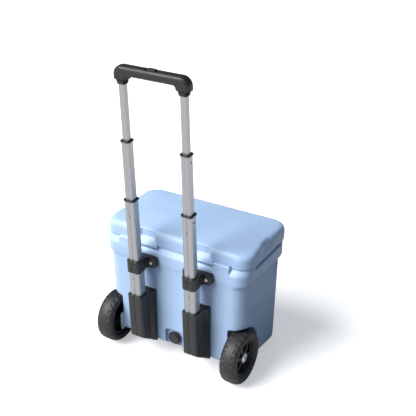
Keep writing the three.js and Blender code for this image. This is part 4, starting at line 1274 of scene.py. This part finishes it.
@dataclass
class Tubes:
    """The telescoping tubes with their grooved backs, collars, clamps and sleeves."""

    side: Side
    base: tuple[float, float] = (40.0, 37.0)
    lower: tuple[float, float] = (34.0, 31.0)
    middle: tuple[float, float] = (28.0, 26.0)
    upper: tuple[float, float] = (21.0, 18.0)
    wall: float = 1.5
    groove: float = 2.6
    middle_groove: float = 1.2
    upper_groove: float = 0.5
    ear: float = 34.0
    clamp_rear: float = 38.3
    clamp_z: float = 360.0

    def section(self, size: tuple[float, float], groove: float, grow: float = 0.0) -> Array:
        """A rounded rectangle with a shallow groove down its back.

        The groove's depth falls off as exp(-(x / w)^2) from the middle.

        Args:
            size: Width and depth.
            groove: Depth of the groove.
            grow: How much larger the section is all round.

        Returns:
            Points in x and y about the right tube's line.
        """
        half, deep = size[0] / 2 + grow, size[1] / 2 + grow
        loop = rounded_rings(half, -deep, deep, max(2.0, size[0] * 0.2 + grow), (22, 8), 6)[0]
        back = loop[:, 1] > deep * 0.7
        dip = groove * np.exp(-(loop[:, 0] / (size[0] * 0.062)) ** 2)
        loop[:, 1] -= np.where(back, dip, 0.0)
        return loop + (TUBE_X, 0)

    def tube(self, size: tuple[float, float], groove: float, low: float,
             high: float) -> Surface:
        """An open tube with slightly rounded ends.

        Args:
            size: Width and depth.
            groove: Depth of its groove.
            low: Level of its lower end.
            high: Level of its upper end.

        Returns:
            The tube along the handle's line.
        """
        wall = self.wall
        return lean(stacked(self.section(size, groove), [
            (-0.3, low), (0, low + 0.3), (0, high - 0.3), (-0.3, high), (-wall, high),
            (-wall, low)], ring=True))

    def collar(self, size: tuple[float, float], inset: float, groove: float,
               top: float) -> Surface:
        """The cap round a section's top: a rounded band that turns in over its end.

        Args:
            size: The section's width and depth.
            inset: How far the cap turns in.
            groove: Depth of the section's groove.
            top: Level of the cap's top.

        Returns:
            The cap on the handle's line.
        """
        return lean(stacked(self.section(size, groove), [
            (2.2, top - 5.0), (2.8, top - 4.4), (3.0, top - 3.6), (3.0, top - 1.4),
            (2.4, top - 0.3), (1.2, top), (-inset + 0.5, top), (-inset, top - 0.5),
            (-inset, top - 2.7), (0.2, top - 2.7), (0.2, top - 5.0)], ring=True))

    def lock_pin(self, size: tuple[float, float], level: float) -> Surface:
        """The sprung pin that stands in its hole in the tube's outer side.

        Args:
            size: The section's width and depth.
            level: The pin's level along the tube.

        Returns:
            The pin on the handle's line.
        """
        pin = to_x(lathed([(0, 1.3), (0.0, -0.6), (2.9, -0.6), (2.9, 0.3), (2.2, 1.0),
                           (1.2, 1.3)], 20, ring=True))
        return lean(pin.moved(x=TUBE_X + size[0] / 2, z=level))

    def clamp(self) -> Surface:
        """The clamp: a wrap round the tube, an eared plate and the neck between them.

        Returns:
            The clamp of the right side.
        """
        wrap = lean(stacked(self.section(self.base, self.groove), [
            (2.6, 339.0), (3.3, 339.7), (3.5, 341.0), (3.5, 379.0), (3.3, 380.2),
            (2.6, 381.0), (-2.0, 381.0), (-2.3, 380.6), (-2.3, 367.2), (0.2, 367.2),
            (0.2, 339.0)], ring=True))
        plate = rounded_polygon([(50, 341), (150, 341), (150, 377), (50, 377)], 1.5, 30)
        plate = to_z_plane(stacked(plate, edge_steps(18.3, self.clamp_rear, 2.6)))
        neck = rounded_polygon([(76.5, 340), (123.5, 340), (123.5, 378), (76.5, 378)], 2.0, 6)
        neck = to_z_plane(stacked(neck, edge_steps(30.0, 48.6, 2.0)))
        parts = [wrap, plate, neck]
        for x in (TUBE_X - self.ear, TUBE_X + self.ear):
            ring = to_y(lathed([(6.7, -1.0), (12.0, -1.0), (12.0, 0.5), (11.3, 1.2),
                                (9.6, 1.4), (8.6, 0.9), (7.0, 0.2)], 40, ring=True))
            parts.append(ring.moved(x=x, y=self.clamp_rear, z=self.clamp_z))
        return joined(*parts)

    def bolts(self) -> list[Surface]:
        """The two clamp bolts, inner then outer: domed heads with a hexagon socket.

        Returns:
            The bolts of the right side.
        """
        angle = np.arange(48) * 2 * np.pi / 48
        hexed = 2.4 / np.cos((angle + np.pi / 6) % (np.pi / 3) - np.pi / 6)
        rows = [(0.02, 39.8), (1.0, 39.8), (1.02, 42.2), (1.12, 42.5)]
        rings = [np.stack([hexed * r * np.cos(angle), hexed * r * np.sin(angle),
                           np.full(48, y)], -1) for r, y in rows]
        for radius, y in ((4.4, 42.4), (5.6, 41.4), (6.0, 40.0), (6.0, 38.4), (0.05, 38.4)):
            rings.append(np.stack([radius * np.cos(angle), radius * np.sin(angle),
                                   np.full(48, y)], -1))
        head = woven(np.array(rings[::-1]), cap_first=True, cap_last=True)
        return [to_y(Surface(head.points.copy(), head.quads, head.tris, head.caps))
                .moved(x=TUBE_X + way * self.ear, z=self.clamp_z) for way in (-1, 1)]

    def sleeve(self) -> Surface:
        """The moulded sleeve under the clamp.

        It has a grooved back, sloped flanks and a foot against the tub, and its bottom is cut
        away upwards towards the back.

        The blind bore takes the tube. Its radius at each angle about the tube's middle is
        that of a squared ellipse: (|cos / a| ^ 6 + |sin / b| ^ 6) ^ (-1 / 6).

        Returns:
            The sleeve of the right side.
        """
        plan = rounded_polygon([
            (38, 16.3), (38, 22.5), (28.5, 38), (26.5, 72), (21.5, 77.2), (-21.5, 77.2),
            (-26.5, 72), (-28.5, 38), (-38, 22.5), (-38, 16.3)], 1.5, 4)
        dip = 2.2 * np.exp(-(plan[:, 0] / 2.4) ** 2)
        plan[:, 1] -= np.where(plan[:, 1] > 70, dip, 0.0)
        normal = outline_normals(plan)
        rows = []
        for grow, share, drop in ((-7.5, 0.0, 3.0), (-1.5, 0.0, 0.0), (0.0, 0.0, 1.5),
                                  *((0.0, s, 0.0) for s in np.linspace(0.03, 0.97, 12)),
                                  (0.0, 1.0, -1.2), (-0.4, 1.0, -0.3), (-1.3, 1.0, 0.0),
                                  (-3.6, 1.0, 0.0), (-4.3, 1.0, -0.6), (-4.6, 1.0, -4.0)):
            loop = plan + normal * grow
            foot = 52.0 + 44.0 * (loop[:, 1] - 16.3) / 60.8
            z = foot * (1 - share) + 253.0 * share + drop
            y = np.maximum(loop[:, 1] + TUBE_SLOPE * z * ramp(loop[:, 1], 17.0, 30.0), 16.3)
            rows.append(np.stack([loop[:, 0] + TUBE_X, y, z], -1))
        turn = np.arctan2(plan[:, 1] - TUBE_SETBACK, plan[:, 0])
        reach = (np.abs(np.cos(turn) / 20.4) ** 6 + np.abs(np.sin(turn) / 18.9) ** 6) ** (-1 / 6)
        for z in (249.0, 97.0):
            rows.append(np.stack([TUBE_X + reach * np.cos(turn),
                                  TUBE_SETBACK + TUBE_SLOPE * z + reach * np.sin(turn),
                                  np.full_like(turn, z)], -1))
        return woven(np.array(rows), cap_first=True, cap_last=True)

    def build(self) -> None:
        """Makes this side's tubes and their fittings."""
        side, word = self.side, self.side.word
        sections = (
            ("base", self.base, self.groove, 98.0, 366.0, Body.TUB),
            ("lower", self.lower, self.groove, 318.0, 592.0, Body.LOWER),
            ("middle", self.middle, self.middle_groove, 540.0, 784.0, Body.MIDDLE),
            ("upper", self.upper, self.upper_groove, 732.0, 985.0, Body.UPPER))
        for label, size, groove, low, high, body in sections:
            make_piece(f"{label}_section_{word}", self.tube(size, groove, low, high).on(side),
                       body, DRAWN_ALUMINIUM, (f"{label}_tube_{word}",))
        for label, size, inset, top, body in (
                ("lower", self.lower, 1.8, 595.0, Body.LOWER),
                ("middle", self.middle, 2.6, 787.0, Body.MIDDLE)):
            groove = self.groove if label == "lower" else self.middle_groove
            make_piece(f"{label}_collar_cap_{word}",
                       self.collar(size, inset, groove, top).on(side), body, BLACK_NYLON,
                       (f"{label}_collar_{word}",))
            make_piece(f"{label}_lock_pin_{word}", self.lock_pin(size, top - 26.0).on(side),
                       body, BLACK_NYLON)
        make_piece(f"clamp_moulding_{word}", self.clamp().on(side), Body.TUB, BLACK_NYLON,
                   (f"tube_clamp_{word}",))
        for label, bolt in zip(("inner", "outer"), self.bolts()):
            make_piece(f"{label}_bolt_head_{word}", bolt.on(side), Body.TUB, BRIGHT_STEEL,
                       (f"clamp_bolt_{label}_{word}",))
        make_piece(f"sleeve_moulding_{word}", self.sleeve().on(side), Body.TUB, BLACK_NYLON,
                   (f"tube_sleeve_{word}",), crease=50.0)
        LOG.info("tubes %s", word)


def to_z_plane(surface: Surface) -> Surface:
    """Stands a plate drawn in x and y up, so that it lies in x and z and runs along y.

    Args:
        surface: The plate, drawn in x and y.

    Returns:
        The standing plate, its faces outwards.
    """
    x, z, y = surface.points.T
    return Surface(np.stack([x, y, z], -1), surface.quads[:, ::-1], surface.tris[:, ::-1],
                   [cap[::-1] for cap in surface.caps])


@dataclass
class Grip:
    """The moulded grip across the two upper tubes, its boots and its push button."""

    half: float = 123.0
    leg: float = 46.0
    depth: float = 34.0
    bottom: float = 973.3
    bar_bottom: float = 983.3
    top: float = 1013.3
    corner: float = 28.0
    inner_corner: float = 8.0

    def stations(self) -> tuple[Array, Array]:
        """Matching points down the inner and the outer edge of half the grip.

        They run from the leg's foot to the middle of the bar: straight, quarter circle,
        straight.

        Returns:
            The inner points and the outer points, in x and z.
        """
        inner_x = self.half - self.leg
        turn = np.linspace(0, np.pi / 2, 15)
        rise = np.linspace(0, 1, 7)[:-1]
        inner_bend = self.bar_bottom - self.inner_corner
        outer_bend = self.top - self.corner
        inner = np.concatenate([
            np.stack([np.full(6, inner_x), self.bottom + (inner_bend - self.bottom) * rise], -1),
            np.stack([inner_x - self.inner_corner * (1 - np.cos(turn)),
                      inner_bend + self.inner_corner * np.sin(turn)], -1)])
        outer = np.concatenate([
            np.stack([np.full(6, self.half), self.bottom + (outer_bend - self.bottom) * rise],
                     -1),
            np.stack([self.half - self.corner * (1 - np.cos(turn)),
                      outer_bend + self.corner * np.sin(turn)], -1)])
        run = np.linspace(1, 0, 60)[1:, None]
        bar_in = np.concatenate([inner[-1, :1] * run, np.full((59, 1), self.bar_bottom)], 1)
        bar_out = np.concatenate([outer[-1, :1] * run, np.full((59, 1), self.top)], 1)
        return np.concatenate([inner, bar_in]), np.concatenate([outer, bar_out])

    def body(self) -> Surface:
        """The grip's moulding, a rounded section swept from one foot to the other.

        It spans inner to outer edge at each station. The legs' feet are rolled in, and a seat
        for the button is pressed into the top.

        Returns:
            The moulding, leaned back.
        """
        inner, outer = self.stations()
        inner = np.concatenate([inner, inner[-2::-1] * (-1, 1)])
        outer = np.concatenate([outer, outer[-2::-1] * (-1, 1)])
        centre, reach = (inner + outer) / 2, (outer - inner) / 2
        span = np.linalg.norm(reach, axis=1)
        count = len(span)
        section = rounded_rings(span, np.full(count, -self.depth / 2),
                                np.full(count, self.depth / 2), np.minimum(span * 0.78, 12.5),
                                (10, 8), 8)
        across = section[..., 0] / span[:, None]
        x = centre[:, :1] + reach[:, :1] * across
        z = centre[:, 1:] + reach[:, 1:] * across
        grid = np.stack([x, section[..., 1], z], -1)
        seat = ramp(np.abs(x), 18.6, 17.4) * ramp(z, 1006, 1010) * \
            ramp(np.abs(section[..., 1]), 10.0, 8.4)
        grid[..., 2] -= 5.5 * seat
        first = self._foot(grid[0], centre[0])
        last = self._foot(grid[-1], centre[-1])[::-1]
        return lean(woven(np.concatenate([first, grid[1:-1], last]), cap_first=True,
                          cap_last=True))

    def _foot(self, ring: Array, centre: Array) -> Array:
        """The leg's rolled foot: the end ring, pulled in a little and a bead above it.

        Args:
            ring: The end ring of the section.
            centre: Its middle in x and z.

        Returns:
            The rings that take its place, from the foot up.
        """
        middle = np.array([centre[0], 0.0, self.bottom])
        rows = []
        for scale, lift in ((0.80, 0.0), (0.97, 0.0), (1.0, 0.7), (1.0, 2.2), (0.965, 3.2),
                            (0.965, 4.4)):
            row = middle + (ring - middle) * (scale, scale, 1)
            row[:, 2] = self.bottom + lift
            rows.append(row)
        return np.array(rows)

    def boot(self) -> Surface:
        """The ribbed boot under a leg: rounded rings that swell and draw in three times.

        Returns:
            The boot of the right side, leaned back.
        """
        tubes = Tubes(Side.RIGHT)
        section = tubes.section(tubes.upper, 0.0)
        level = np.linspace(958.0, 972.6, 34)
        climb = (level - 958.0) / 14.6
        grow = 3.0 + 2.6 * climb + 1.1 * np.sin(climb * 3 * 2 * np.pi - np.pi / 2)
        profile = [(1.8, 957.9), *zip(grow, level), (0.3, 972.6), (0.3, 957.9)]
        return lean(stacked(section, profile, ring=True))

    def button(self) -> Surface:
        """The push button: a rounded bar with a dished top and ribbed ends.

        Returns:
            The button, leaned back.
        """
        ring = rounded_rings(14.6, -6.9, 6.9, 3.6, (30, 14), 5)[0]
        profile = [(-0.6, 1000.6), (0, 1001.2), (0, 1013.6), (-0.35, 1014.9),
                   (-1.2, 1015.9), (-2.4, 1016.2), (-4.5, 1015.8), (-6.0, 1015.6)]
        surface = stacked(ring, profile)
        ribs = 0.35 * np.maximum(np.cos(surface.points[:, 0] * 2.4), 0)
        near = (np.abs(surface.points[:, 0]) > 8) & (surface.points[:, 2] > 1015.2)
        surface.points[:, 2] -= np.where(near, ribs, 0)
        return lean(surface)

    def build(self) -> None:
        """Makes the grip, both boots and the button."""
        make_piece("grip_moulding", self.body(), Body.UPPER, BLACK_NYLON,
                   ("grip",), crease=60.0)
        make_piece("button_cap", self.button(), Body.RELEASE, SOFT_RUBBER,
                   ("push_button",))
        for side in Side:
            make_piece(f"ribbed_boot_{side.word}", self.boot().on(side), Body.UPPER,
                       SOFT_RUBBER, (f"boot_{side.word}",), crease=60.0)
        LOG.info("grip")


@dataclass
class Latch:
    """The pull-down latch on the front: mount, lever and keeper."""

    half: float = 30.0
    pin_y: float = -283.0
    pin_z: float = 422.6

    def lever(self) -> Surface:
        """The lever's side outline, carried across with rounded edges and finger ribs.

        Returns:
            The lever.
        """
        inner, outer, foot = self.pin_y + 3, self.pin_y - 4, self.pin_z - 78
        top = [(self.pin_y + 5.4 * math.cos(a), self.pin_z + 5.4 * math.sin(a))
               for a in np.radians(np.linspace(-50, 215, 14))]
        loop = rounded_polygon([
            *top, (outer, self.pin_z - 6), (outer, foot + 20), (outer - 3.2, foot + 9),
            (outer - 7.6, foot + 2.6), (outer - 6.4, foot - 1.4), (inner - 2, foot + 3.6),
            (inner, foot + 12), (inner, self.pin_z - 8)], 1.2, 3)
        return to_x(stacked(loop, edge_steps(-self.half, self.half, 1.8)))

    def mount(self) -> Surface:
        """The backing plate on the lid and the two ears that hold the pin.

        Returns:
            The plate and the ears.
        """
        plate = rounded_polygon([(-35.6, 411.6), (35.6, 411.6), (35.6, 433.6),
                                 (-35.6, 433.6)], 1.2, 8)
        parts = [to_z_plane(stacked(plate, edge_steps(-275.8, -272.3, 1.0, 3)))]
        turn = np.radians(np.linspace(-90, -270, 14))
        nose = [(self.pin_y + 6 * math.cos(a), self.pin_z + 6 * math.sin(a)) for a in turn]
        ear = rounded_polygon([(-273.5, self.pin_z - 9), *nose,
                               (-273.5, self.pin_z + 9)][::-1], 1.0, 2)
        for low in (30.8, -35.6):
            parts.append(to_x(stacked(ear, edge_steps(low, low + 4.8, 0.9, 3))))
        return joined(*parts)

    def keeper(self) -> Surface:
        """The catch plate on the band, with its raised tongue.

        Returns:
            The plate and its tongue.
        """
        plate = rounded_polygon([(-34, 353), (34, 353), (34, 395), (-34, 395)], 1.2, 12)
        tongue = rounded_polygon([(-24, 360), (24, 360), (24, 387), (-24, 387)], 1.2, 8)
        return joined(to_z_plane(stacked(plate, edge_steps(-272.8, -269.8, 1.0, 3))),
                      to_z_plane(stacked(tongue, edge_steps(-278.9, -272.0, 1.6, 3))))

    def build(self) -> None:
        """Makes the latch's pieces."""
        make_piece("latch_lever_moulding", self.lever(), Body.LATCH, SOFT_RUBBER,
                   ("latch_lever",), crease=50.0)
        make_piece("latch_mount_moulding", self.mount(), Body.LID, BLACK_NYLON,
                   ("latch_mount",))
        make_piece("latch_keeper_moulding", self.keeper(), Body.TUB, BLACK_NYLON,
                   ("latch_keeper",))
        LOG.info("latch")


@dataclass
class Drain:
    """The drain plug: a knurled flange and a domed face on the end of its thread."""

    height: float = 80.0
    knurls: int = 28

    def plug(self) -> Surface:
        """A turned profile whose flange radius ripples as |cos| round its edge.

        Returns:
            The plug about the y axis.
        """
        profile = divided(np.array([
            (0.0, 7.8), (10.4, 7.8), (22.0, 7.8), (22.8, 8.6), (22.8, 12.6), (21.6, 13.8),
            (18.6, 14.2), (18.2, 15.0), (18.2, 17.2), (17.2, 18.6), (15.4, 18.9), (14.2, 18.4),
            (13.4, 17.9), (8.0, 18.2), (0.0, 18.4)]), 0.9)
        angle = np.arange(336) * 2 * np.pi / 336
        radius = np.broadcast_to(profile[:, :1], (len(profile), 336)).copy()
        ripple = np.abs(np.cos(self.knurls * angle / 2)) ** 0.6
        radius -= np.where(radius > 21.5, 1.1 * (1 - ripple), 0)
        grid = np.stack([radius * np.cos(angle), radius * np.sin(angle),
                         np.broadcast_to(profile[:, 1:], radius.shape)], -1)
        return to_y(woven(grid))

    def thread(self) -> Surface:
        """The threaded shank: a radius that saws along its length, turned round.

        Returns:
            The shank about the y axis.
        """
        along = np.linspace(-16.0, 8.2, 72)
        angle = np.arange(48) * 2 * np.pi / 48
        saw = np.abs(((along[:, None] / 3.6 + angle / (2 * np.pi)) % 1) * 2 - 1)
        radius = 9.4 + 1.0 * saw
        radius[0] = radius[-1] = 8.8
        grid = np.stack([radius * np.cos(angle), radius * np.sin(angle),
                         np.broadcast_to(along[:, None], radius.shape)], -1)
        return to_y(woven(grid, cap_first=True, cap_last=True))

    def build(self) -> None:
        """Makes the plug."""
        plug = joined(self.plug(), self.thread()).moved(z=self.height)
        make_piece("drain_plug_cap", plug, Body.PLUG, BLACK_NYLON,
                   ("drain_plug",), crease=45.0)
        LOG.info("drain")


@dataclass
class Feet:
    """The two rubber feet under the front."""

    def foot(self) -> Surface:
        """A rounded block with a chamfered, ribbed sole and a top that follows the tub.

        Returns:
            The foot of the right side.
        """
        rings = []
        for grow, z, tilt in ((-8.0, 1.0, 0.0), (-4.0, 0.0, 0.0), (-1.6, 0.0, 0.0),
                              (-0.3, 1.6, 0.0), (0.0, 4.0, 0.0), (0.0, 7.0, 0.0),
                              (-0.8, 7.8, 0.0), (-0.8, 9.0, 0.0), (0.0, 9.8, 0.0),
                              (0.0, 18.9, 1.0), (-0.6, 19.1, 1.0)):
            ring = rounded_rings(42 + grow, -227.5 - grow, -193.5 + grow, 12 + grow / 2,
                                 (24, 10), 8)[0]
            height = z + tilt * UNDER_SLOPE * (ring[:, 1] + 227.5)
            rings.append(np.concatenate([ring + (170, 0), height[:, None]], 1))
        return woven(np.array(rings), cap_first=True, cap_last=True)

    def build(self) -> None:
        """Makes both feet."""
        for side in Side:
            make_piece(f"rubber_foot_{side.word}", self.foot().on(side), Body.TUB,
                       SOFT_RUBBER, (f"front_foot_{side.word}",))
        LOG.info("feet")


class CarriedOver:
    """The CAD nodes that keep their shape, and what each is made of."""

    FINISHES = {
        "lid_port_plug": BLACK_NYLON,
        "drain_bushing": BLACK_NYLON, "drain_washer": SOFT_RUBBER, "lid_gasket": SOFT_RUBBER,
        "hinge_rod": BRIGHT_STEEL, "latch_pin": BRIGHT_STEEL, "wheel_bush": BLACK_NYLON,
        "axle": BRIGHT_STEEL, "lower_guide": BLACK_NYLON, "middle_guide": BLACK_NYLON,
        "upper_guide": BLACK_NYLON, "release_yoke": BRIGHT_STEEL, "button_spring": SPRING_WIRE,
    }

    def dress(self) -> None:
        """Gives each shown CAD node its finish, by the start of its name."""
        for name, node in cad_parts.items():
            if node.hide_render:
                continue
            stem = name.removesuffix("_left").removesuffix("_right")
            finish = self.FINISHES[stem]
            node.data.materials.clear()
            node.data.materials.append(finish.material())
            LOG.info("kept node %s", name)


@dataclass
class Studio:
    """Pale floor, soft light and the camera."""

    camera: tuple[float, float, float] = (-1.21541, 1.99181, 1.71622)
    forward: tuple[float, float, float] = (0.4441, -0.7696, -0.4587)
    lens: float = 72.706

    def floor(self) -> None:
        """A wide pale floor that throws less light back than it shows."""
        bpy.ops.mesh.primitive_plane_add(size=60.0)
        plane = bpy.context.object
        plane.name = "studio_floor"
        made = bpy.data.materials.new("studio_floor_white")
        made.use_nodes = True
        tree = made.node_tree
        rays = tree.nodes.new("ShaderNodeLightPath").outputs
        seen = rays["Is Camera Ray"]
        tone = add_node(tree, "ShaderNodeMix", {
            "Factor": rays["Is Diffuse Ray"], 6: (0.9, 0.9, 0.9, 1.0),
            7: (0.14, 0.14, 0.15, 1.0)}, data_type="RGBA").outputs[2]
        glow = add_node(tree, "ShaderNodeMix", {
            "Factor": seen, 6: (0.0, 0.0, 0.0, 1.0), 7: (0.42, 0.42, 0.42, 1.0)},
            data_type="RGBA").outputs[2]
        shader = tree.nodes["Principled BSDF"]
        tree.links.new(tone, shader.inputs["Base Color"])
        tree.links.new(glow, shader.inputs["Emission Color"])
        shader.inputs["Emission Strength"].default_value = 1.0
        shader.inputs["Roughness"].default_value = 0.9
        shader.inputs["Specular IOR Level"].default_value = 0.1
        plane.data.materials.append(made)

    def light(self, name: str, place: tuple[float, float, float], spread: float,
              power: float) -> None:
        """A broad, far lamp that shines from a place towards the cooler.

        Args:
            name: The lamp's name.
            place: Where it stands, in metres.
            spread: How wide it looks, in degrees.
            power: Its strength.
        """
        data = bpy.data.lights.new(name, "SUN")
        data.angle, data.energy = math.radians(spread), power
        lamp = bpy.data.objects.new(name, data)
        lamp.location = place
        lamp.rotation_mode = "QUATERNION"
        lamp.rotation_quaternion = (-Vector(place)).to_track_quat("-Z", "Y")
        bpy.context.scene.collection.objects.link(lamp)

    def build(self) -> None:
        """Makes the floor, the lights and the camera."""
        self.floor()
        world = bpy.data.worlds.new("studio_air")
        bpy.context.scene.world = world
        world.use_nodes = True
        world.node_tree.nodes["Background"].inputs["Color"].default_value = (0.66, 0.82, 1, 1)
        world.node_tree.nodes["Background"].inputs["Strength"].default_value = 0.2
        self.light("key_lamp", (1.9, 2.3, 3.0), 40.0, 4.4)
        self.light("back_lamp", (1.0, 2.4, 0.6), 60.0, 0.9)
        bpy.context.scene.view_settings.view_transform = "Standard"
        data = bpy.data.cameras.new("camera")
        data.lens, data.sensor_width = self.lens, 36.0
        data.clip_start, data.clip_end = 0.05, 200.0
        camera = bpy.data.objects.new("camera", data)
        camera.location = self.camera
        camera.rotation_mode = "QUATERNION"
        camera.rotation_quaternion = Vector(self.forward).to_track_quat("-Z", "Y")
        bpy.context.scene.collection.objects.link(camera)
        bpy.context.scene.camera = camera
        LOG.info("studio")


def main() -> None:
    """Builds the sub-assemblies in order."""
    logging.basicConfig(level=logging.INFO, format="%(name)s: %(message)s")
    Tub().build()
    Lid().build()
    Latch().build()
    Drain().build()
    Feet().build()
    for side in Side:
        Wheel(side).build()
        Tubes(side).build()
    Grip().build()
    CarriedOver().dress()
    Studio().build()


if __name__ == "__main__":
    main()
